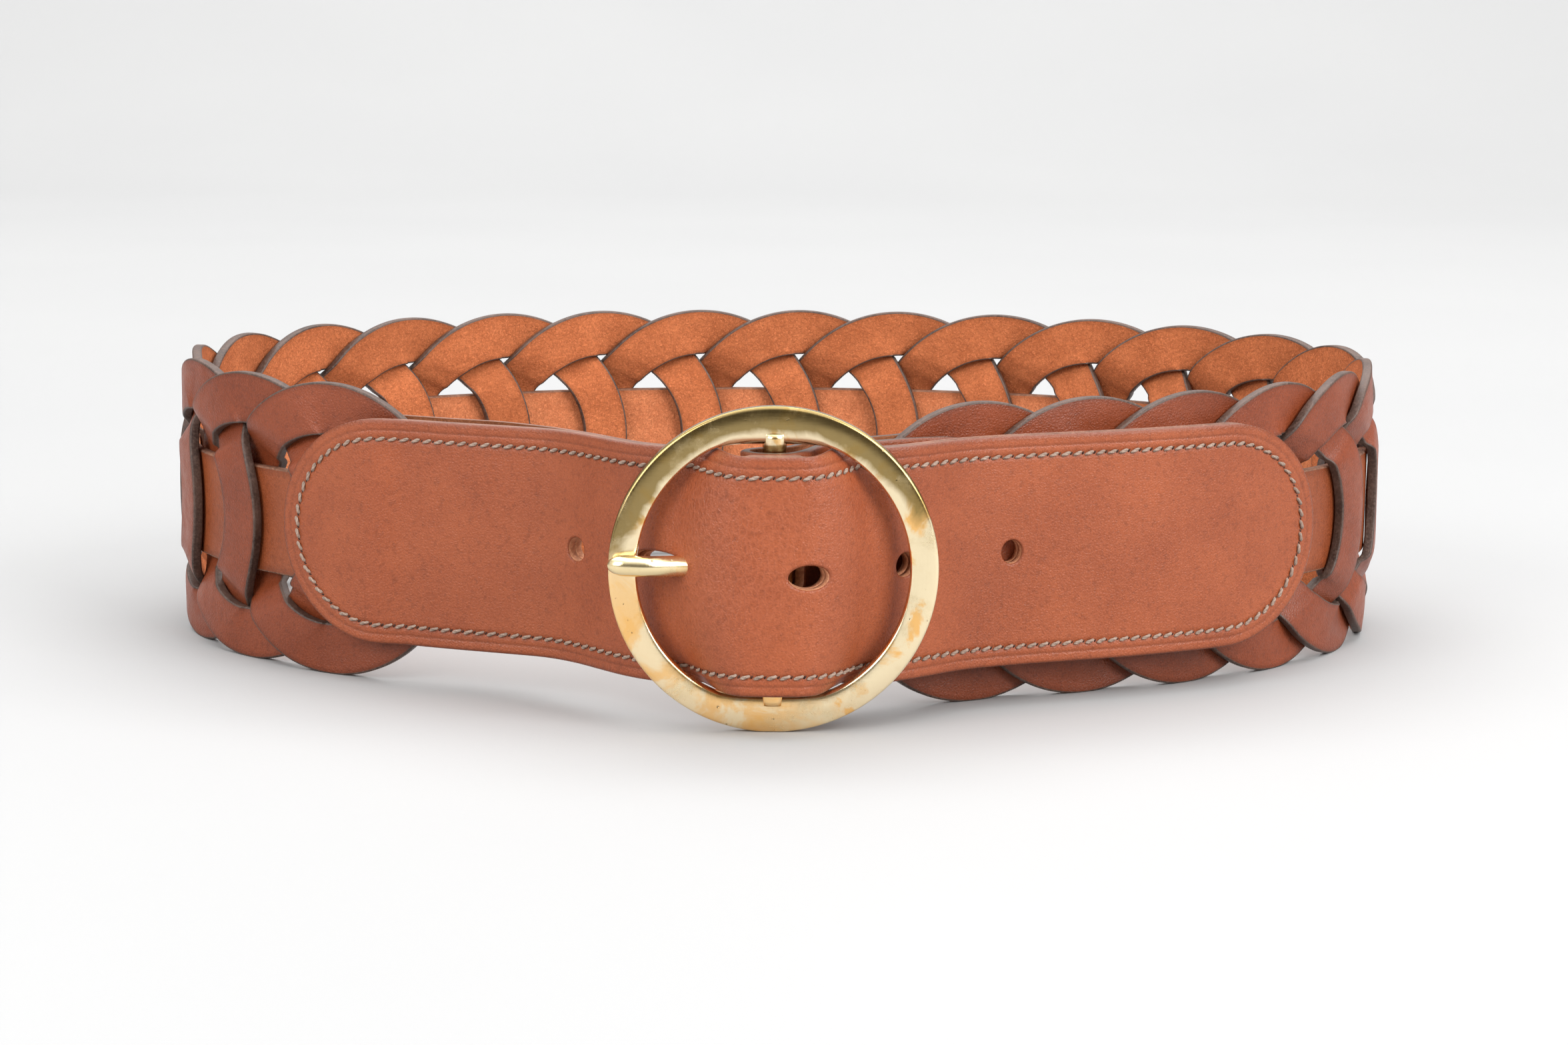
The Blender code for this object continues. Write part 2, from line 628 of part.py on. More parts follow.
def prong(axis, collection, cutters, mat):
    """Turned loop round the centre bar with the round tapered body joined on."""
    inner = BAR_RADIUS + LOOP_CLEARANCE
    outer = inner + PRONG_LOOP_WALL
    half = PRONG_LOOP_HALF_HEIGHT
    profile = bmesh.new()
    corners = [profile.verts.new((r, 0.0, z)) for r, z in ((outer, half), (outer, -half), (inner, -half),
                                                            (inner, half))]
    for k in range(4):
        profile.edges.new((corners[k], corners[(k + 1) % 4]))
    mesh = bpy.data.meshes.new("prong")
    profile.to_mesh(mesh)
    profile.free()
    loop = add_object("prong", mesh, collection, mat)
    screw = loop.modifiers.new("Turn", "SCREW")
    screw.steps = 32
    screw.render_steps = 32
    screw.merge_threshold = 0.00001
    screw.use_merge_vertices = True
    screw.use_normal_calculate = True
    loop.parent = axis
    loop.location = (0.0, 0.0, BILLET_HEIGHT - FRAME_HEIGHT)
    body = as_mesh(prong_tube("prong_body", 0.0, cutters), cutters)
    body.parent = axis
    body.location = loop.location
    make_cutter(body, cutters)
    boolean(loop, body, "UNION")


def build():
    clear_scene()
    belt = new_collection("leather_belt")
    cutters = new_collection("cutters")
    grain = material("ring_leather", (0.42, 0.15, 0.07), 0.45)
    strap_leather = material("strap_leather", (0.40, 0.14, 0.065), 0.5)
    face_leather = material("billet_leather", (0.43, 0.16, 0.08), 0.4)
    lining_leather = material("lining_leather", (0.50, 0.22, 0.10), 0.7)
    chape_leather = material("chape_leather", (0.38, 0.13, 0.06), 0.5)
    linen = material("linen_thread", (0.42, 0.36, 0.31), 0.8)
    brass = material("brass", (0.80, 0.62, 0.32), 0.25, 1.0)
    prong_brass = material("prong_brass", (0.78, 0.58, 0.28), 0.25, 1.0)
    axis = buckle_axis(belt)
    for number in range(1, RING_COUNT + 1):
        ring_link(number, belt, grain)
    centre_strap(belt, strap_leather)
    billet(axis, belt, cutters, face_leather, lining_leather)
    billet_stitching(belt, linen)
    chape(axis, belt, cutters, chape_leather)
    chape_stitching(belt, linen)
    buckle_frame(axis, belt, cutters, brass)
    prong(axis, belt, cutters, prong_brass)


build()
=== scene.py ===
"""Looks of the belt of woven leather rings with its stitched billet and round brass buckle."""

import math

import bmesh
import bpy
import numpy as np
from mathutils import Matrix, Vector
from mathutils.geometry import delaunay_2d_cdt


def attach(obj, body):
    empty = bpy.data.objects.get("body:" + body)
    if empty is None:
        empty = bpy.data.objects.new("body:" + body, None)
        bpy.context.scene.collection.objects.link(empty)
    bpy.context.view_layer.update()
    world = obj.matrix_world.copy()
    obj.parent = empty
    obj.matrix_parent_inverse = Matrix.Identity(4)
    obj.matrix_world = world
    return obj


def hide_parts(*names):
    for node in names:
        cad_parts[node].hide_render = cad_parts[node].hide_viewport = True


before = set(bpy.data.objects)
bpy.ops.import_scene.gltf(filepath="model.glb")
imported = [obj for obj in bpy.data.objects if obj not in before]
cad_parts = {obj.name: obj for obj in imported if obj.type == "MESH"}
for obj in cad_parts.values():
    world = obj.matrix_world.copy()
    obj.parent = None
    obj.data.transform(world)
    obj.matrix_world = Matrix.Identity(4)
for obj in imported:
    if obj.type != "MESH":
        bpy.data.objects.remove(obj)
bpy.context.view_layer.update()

MM = 0.001

# The loop seen from above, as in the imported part.
LOOP_HALF_LONG = 141.4 * MM
LOOP_HALF_SHORT = 89.9 * MM
LOOP_TILT = math.radians(2.5)
LOOP_CENTRE = (0.030 * MM, 17.521 * MM)
BUCKLE_PLACE = math.radians(-92.3)
NOSE_RISE = 17.0 * MM
NOSE_SPREAD = 22.0 * MM
LOOP_SAMPLES = 7200

RING_COUNT = 23
RING_OUTER = 33.2 * MM
RING_BAND = 11.8 * MM
RING_INNER = RING_OUTER - RING_BAND
RING_PITCH = 26.75 * MM
FIRST_RING_REACH = 108.0 * MM
LEATHER = 2.3 * MM
SKIN_GAP = 0.5 * MM
LAYER = LEATHER + SKIN_GAP
STRAP_HALF_WIDTH = 12.2 * MM
STRAP_FIRST_REACH = 93.0 * MM
STRAP_LAST_REACH = -32.2 * MM
FOOT_ANGLE = math.radians(84.0)
CROWN_ANGLE = math.radians(87.5)
LENS_SHARE = 0.33
OUTER_EDGE_RISES = (-1.0, -1.0, -1.0, -0.52, 0.68, 0.64, 0.58, 0.52, 0.34, 0.12)
INNER_EDGE_RISES = (-1.0, -1.0, -1.0, -0.50, 0.54, 0.54, 0.50, 0.38, 0.26, 0.12)
RING_HEIGHT = RING_OUTER * math.sin(FOOT_ANGLE)

TAB_HALF_WIDTH = 25.2 * MM
FACE_LEATHER = 1.9 * MM
LINING_LEATHER = 1.5 * MM
PLATE_GAP = 0.72 * MM
BILLET_HEIGHT = 34.5 * MM
BILLET_LEFT_REACH = 116.8 * MM
BILLET_RIGHT_REACH = -130.5 * MM
HUMP_FLAT = 3.4 * MM
HUMP_MARGIN = 2.9 * MM
HUMP_RISE = 20.0 * MM
BILLET_RISES = [(BILLET_RIGHT_REACH, 9.1 * MM), (-45.0 * MM, 9.1 * MM), (-20.0 * MM, 12.0 * MM),
                (-12.0 * MM, 8.9 * MM), (0.0, 7.9 * MM), (12.0 * MM, 8.9 * MM), (20.0 * MM, 12.0 * MM),
                (56.0 * MM, 3.0 * MM), (84.0 * MM, 3.0 * MM), (98.0 * MM, 5.4 * MM),
                (BILLET_LEFT_REACH, 5.4 * MM)]
LINING_PARTS_REACH = (46.0 * MM, 69.0 * MM)
LINING_BEHIND_STRAP = -3.9 * MM
HOLE_RADIUS = 2.6 * MM
HOLE_REACHES = (43.0 * MM, -4.3 * MM, -22.8 * MM, -52.9 * MM)

FRAME_RADIUS = 34.6 * MM
FRAME_OPENING_RADIUS = 28.6 * MM
FRAME_OPENING_HALF_HEIGHT = 26.8 * MM
FRAME_THICKNESS = 3.5 * MM
FRAME_SIDES = 48
FRAME_RISE = 11.0 * MM
FRAME_HEIGHT = FRAME_RADIUS * math.cos(math.pi / FRAME_SIDES)
BAR_RADIUS = 2.5 * MM
LOOP_CLEARANCE = 0.3 * MM
PRONG_LOOP_WALL = 1.3 * MM
PRONG_LOOP_HALF_HEIGHT = 3.2 * MM
PRONG_RADIUS = 2.2 * MM
PRONG_LENGTH = 34.6 * MM
PRONG_TIP_RISE = 1.5 * MM
PRONG_BEND_REACH = 15.0 * MM
PRONG_CLIMB_REACH = 28.0 * MM
PRONG_ON_FRAME = 0.3 * MM

CHAPE_LEATHER = 2.2 * MM
CHAPE_FOLD_RADIUS = 4.4 * MM
CHAPE_HEIGHT = FRAME_HEIGHT
CHAPE_REACH = -62.5 * MM
SLOT_HALF_HEIGHT = 4.2 * MM
CHAPE_INNER_RISES = [(-40.0 * MM, -5.6 * MM), (-29.0 * MM, -2.9 * MM), (-10.0 * MM, -2.9 * MM),
                     (0.0, FRAME_RISE - CHAPE_FOLD_RADIUS)]
CHAPE_OUTER_RISES = [(-40.0 * MM, 4.7 * MM), (-28.0 * MM, 2.8 * MM), (-10.8 * MM, 2.8 * MM),
                     (-0.5 * MM, FRAME_RISE + CHAPE_FOLD_RADIUS)]
CHAPE_SEAM_BEYOND_FOLD = 22.0 * MM
SLOT_HALF_RUN = 13.5 * MM
SLOT_SQUARENESS = 0.35

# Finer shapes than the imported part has.
RING_STEPS = 192
RING_ROUNDING = 0.45 * MM
RING_WAVE = 0.10 * MM
STRAP_STEPS = 620
STRAP_ROUNDING = 0.4 * MM
STRAP_WAVE = 0.10 * MM
OUTLINE_STEP = 1.0 * MM
FACE_GRID = 1.15 * MM
LINING_GRID = 1.9 * MM
CHAPE_GRID = 1.5 * MM
FACE_INSETS = (0.12, 0.28, 0.5, 0.8, 1.2, 1.7, 2.05, 2.3, 2.55, 2.8, 3.1, 3.5, 3.9, 4.3, 4.7, 5.1, 5.6)
LINING_INSETS = (0.3, 0.8, 1.6, 2.8, 4.0, 4.6, 5.4)
CHAPE_INSETS = (0.15, 0.35, 0.7, 1.2, 2.0, 3.0, 4.0, 5.0)
HOLE_GROWTHS = (0.25, 0.6, 1.1)
PLATES_MEET = 0.98 * PLATE_GAP / 2.0          # each billet leather is thickened to the gap's middle
SEAM_STEP = 0.9 * MM
FACE_ROUNDING = 0.7 * MM
HOLE_ROUNDING = 0.35 * MM
LINING_ROUNDING = 0.6 * MM
SEAM_GROOVE = (0.75 * MM, 0.22 * MM)          # half width and depth
BACK_SEAM_GROOVE = (0.9 * MM, 0.2 * MM)
CREASE_INSET = 2.3 * MM
CREASE_GROOVE = (0.30 * MM, 0.16 * MM)
PRONG_WAY_HALF_HEIGHT = 2.36 * MM
PRONG_WAY_RISE = 0.86 * MM                    # the tongue is this far above the billet's middle there
FACE_WAY = (18.7 * MM, 6.3 * MM)              # reach of the hole in use and half its length
LINING_WAY = (17.3 * MM, 6.6 * MM)
FRAME_CROWN = 0.30 * MM
FRAME_ROUNDING = 0.75 * MM
FRAME_STEPS = 320
REST_PAD = (2.9 * MM, 0.75 * MM, 3.3 * MM)

STITCH_PITCH = 2.78 * MM
STITCH_LENGTH = 2.45 * MM
STITCH_RADIUS = 0.40 * MM
STITCH_INSET = 4.3 * MM
STITCH_SLANT = math.radians(20.0)
STITCH_ARCH = 0.16 * MM
SLIT_HALF_LENGTH = 0.66 * MM
SLIT_HALF_WIDTH = 0.27 * MM

rng = np.random.default_rng(7)


# ---- the loop

def loop_walk():
    angle = BUCKLE_PLACE - np.linspace(0.0, 2.0 * math.pi, LOOP_SAMPLES + 1)
    x = LOOP_HALF_LONG * np.cos(angle)
    y = LOOP_HALF_SHORT * np.sin(angle)
    nx = LOOP_HALF_SHORT * np.cos(angle)
    ny = LOOP_HALF_LONG * np.sin(angle)
    size = np.hypot(nx, ny)
    away = np.hypot(x - x[0], y - y[0])
    nose = NOSE_RISE * np.exp(-0.5 * (away / NOSE_SPREAD) ** 2)
    x += nose * nx / size
    y += nose * ny / size
    c, s = math.cos(LOOP_TILT), math.sin(LOOP_TILT)
    points = np.stack([x * c - y * s + LOOP_CENTRE[0], x * s + y * c + LOOP_CENTRE[1]], axis=1)
    ahead = np.roll(points[:-1], -1, axis=0) - np.roll(points[:-1], 1, axis=0)
    ahead = np.concatenate([ahead, ahead[:1]])
    normals = np.stack([ahead[:, 1], -ahead[:, 0]], axis=1) / np.hypot(*ahead.T)[:, None]
    normals *= np.sign(normals[0] @ points[0])
    steps = np.hypot(*np.diff(points, axis=0).T)
    return np.concatenate([[0.0], np.cumsum(steps)]), points, normals


LOOP_REACH, LOOP_POINTS, LOOP_NORMALS = loop_walk()
LOOP_LENGTH = LOOP_REACH[-1]


def looked_up(where, places, table):
    """A table's rows between the places they are given at."""
    return np.stack([np.interp(where, places, column) for column in table.T], axis=-1)


def on_loop(table, reach):
    return looked_up(np.asarray(reach, float) % LOOP_LENGTH, LOOP_REACH, table)


def plan(reach, rise):
    return on_loop(LOOP_POINTS, reach) + on_loop(LOOP_NORMALS, reach) * np.asarray(rise, float)[..., None]


def at(reach, rise, height):
    flat = plan(reach, rise)
    tall = np.broadcast_to(np.asarray(height, float), flat.shape[:-1])
    return np.concatenate([flat, tall[..., None]], axis=-1)


def circle(count):
    return np.arange(count) * 2.0 * math.pi / count


def walked(points):
    """Length along a line of points, up to each."""
    return np.concatenate([[0.0], np.cumsum(np.linalg.norm(np.diff(points, axis=0), axis=1))])


def ease(fraction):
    fraction = np.clip(fraction, 0.0, 1.0)
    return fraction * fraction * (3.0 - 2.0 * fraction)


def along(stations, reach):
    reach = np.asarray(reach, float)
    value = np.full(reach.shape, stations[-1][1])
    for (low, low_value), (high, high_value) in reversed(list(zip(stations, stations[1:]))):
        here = low_value + (high_value - low_value) * ease((reach - low) / (high - low))
        value = np.where(reach <= high, here, value)
    return value


def unit(vectors):
    return vectors / np.maximum(np.linalg.norm(vectors, axis=-1, keepdims=True), 1e-12)


def face_rise(reach, height):
    level = np.minimum(np.abs(height - FRAME_HEIGHT), TAB_HALF_WIDTH)
    dip = np.sqrt(FRAME_OPENING_RADIUS ** 2 - level ** 2) - HUMP_MARGIN
    hump = 1.0 - ease((np.abs(reach) - HUMP_FLAT) / (dip - HUMP_FLAT))
    base = along(BILLET_RISES, reach)
    return base + (HUMP_RISE - base) * hump


def surface(rise, reach, height):
    """Points and outward normals of a surface given as a rise over reach and height."""
    step = 0.3 * MM
    point = at(reach, rise(reach, height), height)
    across = at(reach + step, rise(reach + step, height), height)
    across = across - at(reach - step, rise(reach - step, height), height)
    up = at(reach, rise(reach, height + step), height + step)
    up = up - at(reach, rise(reach, height - step), height - step)
    normal = unit(np.cross(up, across))
    out = on_loop(LOOP_NORMALS, reach)
    sign = np.sign((normal[..., :2] * out).sum(-1))
    return point, normal * sign[..., None]


def face_surface(reach, height):
    return surface(face_rise, reach, height)


def lining_surface(reach, height):
    pressed = (FACE_LEATHER + LINING_LEATHER) / 2.0 + PLATE_GAP
    parted = along(BILLET_RISES, reach) - LINING_BEHIND_STRAP
    start, end = LINING_PARTS_REACH
    back = pressed + (parted - pressed) * ease((reach - start) / (end - start))
    point, normal = face_surface(reach, height)
    return point - normal * back[..., None], normal


# ---- meshes

def make_mesh(name, verts, faces, mats, face_mats=None, body="leather", slot=None, replaces=(),
              attributes=None):
    """A smooth-shaded piece on a body, with its faces turned outwards."""
    mesh = bpy.data.meshes.new(name)
    mesh.from_pydata(np.asarray(verts, float).tolist(), [], [tuple(int(i) for i in f) for f in faces])
    for mat in mats:
        mesh.materials.append(mat)
    if face_mats is not None:
        mesh.polygons.foreach_set("material_index", np.asarray(face_mats, np.int32))
    mesh.shade_smooth()
    for key, values in (attributes or {}).items():
        layer = mesh.attributes.new(key, "FLOAT", "POINT")
        layer.data.foreach_set("value", np.asarray(values, np.float32))
    shape = bmesh.new()
    shape.from_mesh(mesh)
    bmesh.ops.recalc_face_normals(shape, faces=shape.faces)
    shape.to_mesh(mesh)
    shape.free()
    obj = bpy.data.objects.new(name, mesh)
    bpy.context.scene.collection.objects.link(obj)
    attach(obj, body)
    if replaces:
        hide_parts(*replaces)
    return obj


def lattice(rows, columns, wrap_rows=False, wrap_columns=False, offset=0):
    """Quads over a rows x columns grid of vertices."""
    r = np.arange(rows if wrap_rows else rows - 1)
    c = np.arange(columns if wrap_columns else columns - 1)
    a, b = np.meshgrid(r, c, indexing="ij")
    a, b = a.ravel(), b.ravel()
    a1, b1 = (a + 1) % rows, (b + 1) % columns
    return np.stack([a * columns + b, a * columns + b1, a1 * columns + b1, a1 * columns + b], axis=1) + offset


def end_caps(rows, columns):
    """Faces that close a tube of rows of vertices at its two ends."""
    return [list(range(columns))[::-1], [(rows - 1) * columns + k for k in range(columns)]]


def leather_section(width, thickness, inner_steps, rounding):
    """Cross-section of a strip: (share across, height in half thicknesses) once round, and each side's kind."""
    edge = rounding / width
    turns = np.linspace(0.0, math.pi / 2.0, 5)
    front_low = [(edge * (1.0 - math.sin(a)), 1.0 - (1.0 - math.cos(a)) * 2.0 * rounding / thickness)
                 for a in turns[::-1]]
    front_high = [(1.0 - share, tall) for share, tall in reversed(front_low)]
    middle = [(edge + (1.0 - 2.0 * edge) * k / inner_steps, 1.0) for k in range(1, inner_steps)]
    front = front_low + middle + front_high
    back = [(share, -tall) for share, tall in reversed(front)]
    turn = len(front_low) - 1
    sides = (["edge"] * turn + ["front"] * (len(front) - 1 - 2 * turn) + ["edge"] * turn + ["edge"]
             + ["edge"] * turn + ["back"] * (len(front) - 1 - 2 * turn) + ["edge"] * turn + ["edge"])
    return np.array(front + back), sides


# ---- materials

class Nodes:
    """Short ways to add nodes to a tree. An input is given by name or number, as a value or a link."""

    def __init__(self, tree):
        self.tree = tree

    def fill(self, node, inputs):
        for key, value in inputs.items():
            socket = node.inputs[key]
            if isinstance(value, bpy.types.NodeSocket):
                self.tree.links.new(value, socket)
            elif socket.type == "RGBA":
                socket.default_value = (*value, 1.0)
            else:
                socket.default_value = value

    def node(self, kind, inputs=None, **values):
        made = self.tree.nodes.new(kind)
        for key, value in values.items():
            setattr(made, key, value)
        self.fill(made, inputs or {})
        return made

    def range(self, value, low, high, to_low=0.0, to_high=1.0, kind="LINEAR"):
        inputs = {"Value": value, "From Min": low, "From Max": high, "To Min": to_low, "To Max": to_high}
        return self.node("ShaderNodeMapRange", inputs, interpolation_type=kind).outputs["Result"]

    def math(self, operation, a, b):
        return self.node("ShaderNodeMath", {0: a, 1: b}, operation=operation).outputs["Value"]

    def mix(self, factor, a, b):
        return self.node("ShaderNodeMix", {0: factor, 6: a, 7: b}, data_type="RGBA").outputs[2]


class Finish(Nodes):
    """A Principled material built from procedural nodes in object space."""

    def __init__(self, name, metallic=0.0, specular=0.5):
        self.mat = bpy.data.materials.new(name)
        self.mat.use_nodes = True
        super().__init__(self.mat.node_tree)
        self.shader = self.tree.nodes["Principled BSDF"]
        self.fill(self.shader, {"Metallic": metallic, "Specular IOR Level": specular})
        self.place = self.node("ShaderNodeTexCoord").outputs["Object"]

    def stretched(self, scale, turn=(0.0, 0.0, 0.0)):
        inputs = {"Vector": self.place, "Scale": scale, "Rotation": turn}
        return self.node("ShaderNodeMapping", inputs).outputs["Vector"]

    def warped(self, scale, amount):
        """Stretched coordinates pushed about by noise, so that a pattern on them looks irregular."""
        push = self.node("ShaderNodeTexNoise", {"Vector": self.place, "Scale": 260.0, "Detail": 3.0})
        inputs = {0: push.outputs["Color"], 1: (amount, amount, amount), 2: self.stretched(scale)}
        return self.node("ShaderNodeVectorMath", inputs, operation="MULTIPLY_ADD").outputs["Vector"]

    def noise(self, scale, detail=3.0, roughness=0.55, place=None, distortion=0.0):
        inputs = {"Vector": place or self.place, "Scale": scale, "Detail": detail,
                  "Roughness": roughness, "Distortion": distortion}
        return self.node("ShaderNodeTexNoise", inputs).outputs["Fac"]

    def cells(self, scale, place=None):
        inputs = {"Vector": place or self.place, "Scale": scale}
        return self.node("ShaderNodeTexVoronoi", inputs, feature="DISTANCE_TO_EDGE").outputs["Distance"]

    def attribute(self, name):
        return self.node("ShaderNodeAttribute", attribute_name=name).outputs["Fac"]

    def bump(self, height, distance, strength, under=None):
        inputs = {"Height": height, "Strength": strength, "Distance": distance}
        if under is not None:
            inputs["Normal"] = under
        return self.node("ShaderNodeBump", inputs).outputs["Normal"]

    def finish(self, colour, roughness, normal):
        self.fill(self.shader, {"Base Color": colour, "Roughness": roughness, "Normal": normal})
        return self.mat


def times(colour, share, more=0.0):
    """A lighter or darker version of a colour."""
    return tuple(min(1.0, c * share + more) for c in colour)


def grain_leather(name, light, dark, roughness=(0.33, 0.50), tone=True, crumple=False):
    """Smooth side: fine pebble, pores, soft mottling, and wrinkles where the leather is bent."""
    f = Finish(name, specular=0.36)
    mottle = f.noise(42.0, 4.0, 0.6)
    colour = f.mix(f.range(mottle, 0.32, 0.68), dark, light)
    # Light specks: partly speckled tone of the grain, partly painted highlights on its pebble.
    speck_and_glint = f.noise(1900.0, 2.0, 0.7)
    colour = f.mix(f.range(speck_and_glint, 0.40, 0.72, 0.0, 0.32), colour, times(light, 1.45, 0.01))
    pores = f.noise(760.0, 2.0, 0.6)
    colour = f.mix(f.range(pores, 0.30, 0.46, 0.32, 0.0), colour, times(dark, 0.55))
    if tone:
        worn = f.attribute("tone")
        colour = f.mix(f.range(worn, 0.0, 1.0, 0.30, 0.0), colour, times(dark, 0.55))
    rubbed = f.attribute("rub")
    colour = f.mix(f.range(rubbed, 0.0, 1.0, 0.0, 0.75), colour, times(dark, 0.42))
    fine = f.cells(1500.0)
    height = f.math("ADD", f.range(fine, 0.0, 0.35, 0.0, 0.5), f.math("MULTIPLY", speck_and_glint, 0.8))
    normal = f.bump(height, 0.00014, 0.7)
    soft = f.noise(170.0, 3.0, 0.5)
    normal = f.bump(soft, 0.00022, 0.35, normal)
    if crumple:
        folds = f.cells(1.0, place=f.warped((820.0, 820.0, 430.0), 0.9))
        crease = f.math("MULTIPLY", f.range(folds, 0.0, 0.22, 1.0, 0.0), f.attribute("crumple"))
        colour = f.mix(f.math("MULTIPLY", crease, 0.20), colour, times(light, 1.55, 0.03))
        normal = f.bump(crease, 0.00012, 0.5, normal)
    gloss = f.range(f.noise(300.0, 4.0, 0.65), 0.3, 0.7, *roughness)
    return f.finish(colour, gloss, normal)


def flesh_leather(name, light, dark):
    """Rough inner side: short fibres, mottled."""
    f = Finish(name, specular=0.15)
    patches = f.noise(130.0, 5.0, 0.7)
    colour = f.mix(f.range(patches, 0.30, 0.66), dark, light)
    fibre = f.noise(1300.0, 4.0, 0.75, distortion=0.6)
    colour = f.mix(f.range(fibre, 0.36, 0.62, 0.55, 0.0), colour, times(dark, 0.50))
    colour = f.mix(f.range(f.noise(2400.0, 2.0, 0.7), 0.52, 0.75, 0.0, 0.5), colour,
                   times(light, 1.55, 0.03))
    worn = f.attribute("tone")
    colour = f.mix(f.range(worn, 0.0, 1.0, 0.34, 0.0), colour, times(dark, 0.55))
    rubbed = f.attribute("rub")
    colour = f.mix(f.range(rubbed, 0.0, 1.0, 0.0, 0.7), colour, times(dark, 0.35))
    normal = f.bump(f.math("ADD", fibre, f.math("MULTIPLY", patches, 1.4)), 0.0005, 0.9)
    return f.finish(colour, f.range(fibre, 0.3, 0.7, 0.80, 0.95), normal)


def cut_edge(name, dark, pale, roughness=(0.38, 0.62)):
    """Burnished and stained cut edge, streaked along the belt."""
    f = Finish(name, specular=0.4)
    streak = f.noise(90.0, 6.0, 0.7, place=f.stretched((1.0, 1.0, 1.6)))
    colour = f.mix(f.range(streak, 0.34, 0.68), dark, pale)
    fine = f.noise(1500.0, 3.0, 0.7)
    colour = f.mix(f.range(fine, 0.45, 0.75, 0.0, 0.5), colour, times(pale, 1.9, 0.03))
    normal = f.bump(f.math("ADD", streak, f.math("MULTIPLY", fine, 0.6)), 0.00022, 0.7)
    return f.finish(colour, f.range(fine, 0.3, 0.7, *roughness), normal)


def waxed_thread(name, light, dark):
    f = Finish(name, specular=0.3)
    ply = f.noise(2600.0, 3.0, 0.7)
    colour = f.mix(f.range(ply, 0.35, 0.65), dark, light)
    stain = f.noise(260.0, 3.0, 0.6)
    colour = f.mix(f.range(stain, 0.42, 0.66, 0.0, 0.4), colour, times(dark, 0.55))
    # Painted shade in the grooves between the two plies, where the ply attribute is low.
    twist = f.attribute("ply")
    colour = f.mix(f.range(twist, 0.0, 0.4, 0.45, 0.0), colour, times(dark, 0.45))
    normal = f.bump(f.math("ADD", ply, f.math("MULTIPLY", twist, 1.5)), 0.00012, 0.8)
    return f.finish(colour, 0.72, normal)


def worn_brass(name, light, warm, dull):
    """Polished and handled brass: pale, with orange and dull patches, a painted orange reflection of the
    leather, a painted dark olive reflection of the dark surroundings, hairline scratches and a few pits.
    """
    f = Finish(name, metallic=1.0, specular=0.5)
    patches = f.noise(88.0, 5.0, 0.62, distortion=0.5)
    colour = f.mix(f.range(patches, 0.53, 0.60), light, warm)
    # Painted orange reflection of the leather on the side of the frame that faces it.
    painted_leather_reflection = f.math("MULTIPLY", f.range(patches, 0.42, 0.50, 0.15, 1.0), f.attribute("warm"))
    colour = f.mix(painted_leather_reflection, colour, warm)
    # Painted dark olive reflection of the dark surroundings, over the frame's top and on the centre bar.
    ragged_dark_reflection = f.math("ADD", f.attribute("painted_dark_reflection"), f.range(patches, 0.3, 0.7, -0.18, 0.18))
    olive_reflection_colour = f.mix(patches, (0.24, 0.165, 0.055), (0.36, 0.25, 0.09))
    colour = f.mix(f.range(ragged_dark_reflection, 0.34, 0.60, 0.0, 0.94), colour, olive_reflection_colour)
    cloud = f.noise(150.0, 4.0, 0.65)
    colour = f.mix(f.range(cloud, 0.54, 0.76, 0.0, 0.6), colour, dull)
    hair = f.noise(170.0, 5.0, 0.75, place=f.stretched((1.0, 1.0, 22.0), (0.0, 0.5, 0.0)))
    cross = f.noise(200.0, 5.0, 0.75, place=f.stretched((24.0, 1.0, 1.0), (0.0, 0.3, 0.0)))
    pits = f.noise(820.0, 1.0, 0.4)
    pit = f.range(pits, 0.76, 0.80)
    colour = f.mix(f.math("MULTIPLY", pit, 0.65), colour, times(dull, 0.30))
    scratch = f.math("ADD", hair, cross)
    normal = f.bump(scratch, 0.00002, 0.25)
    normal = f.bump(f.math("SUBTRACT", f.noise(55.0, 2.0, 0.5), pit), 0.00012, 0.35, normal)
    rough = f.math("ADD", f.range(scratch, 0.7, 1.3, 0.12, 0.24), f.range(cloud, 0.45, 0.7, 0.0, 0.10))
    return f.finish(colour, rough, normal)


def seamless_paper(name):
    f = Finish(name, specular=0.2)
    tooth = f.noise(900.0, 3.0, 0.6)
    colour = f.mix(f.range(f.noise(4.0, 2.0, 0.5), 0.3, 0.7), (0.380, 0.380, 0.381), (0.390, 0.390, 0.390))
    return f.finish(colour, 0.8, f.bump(tooth, 0.0001, 0.3))


RING_GRAIN = grain_leather("ring_grain", (0.235, 0.050, 0.016), (0.155, 0.030, 0.009))
RING_FLESH = flesh_leather("ring_flesh", (0.600, 0.185, 0.070), (0.430, 0.120, 0.042))
RING_EDGE = cut_edge("ring_edge", (0.030, 0.015, 0.010), (0.095, 0.055, 0.040))
STRAP_GRAIN = grain_leather("strap_grain", (0.285, 0.070, 0.022), (0.200, 0.044, 0.013))
STRAP_FLESH = flesh_leather("strap_flesh", (0.720, 0.245, 0.105), (0.530, 0.160, 0.064))
STRAP_EDGE = cut_edge("strap_edge", (0.070, 0.030, 0.018), (0.240, 0.105, 0.058), (0.6, 0.85))
FACE_GRAIN = grain_leather("billet_grain", (0.305, 0.074, 0.025), (0.225, 0.049, 0.016),
                           tone=False, crumple=True)
FACE_BACK = flesh_leather("billet_flesh", (0.400, 0.150, 0.065), (0.290, 0.095, 0.040))
FACE_EDGE = cut_edge("billet_edge", (0.110, 0.048, 0.030), (0.240, 0.105, 0.065))
RAW_EDGE = cut_edge("punched_edge", (0.330, 0.120, 0.055), (0.560, 0.260, 0.140), (0.7, 0.9))
LINING_GRAIN = grain_leather("lining_grain", (0.430, 0.180, 0.090), (0.340, 0.125, 0.058), tone=False)
CHAPE_GRAIN = grain_leather("chape_grain", (0.290, 0.070, 0.022), (0.200, 0.044, 0.013), tone=False)
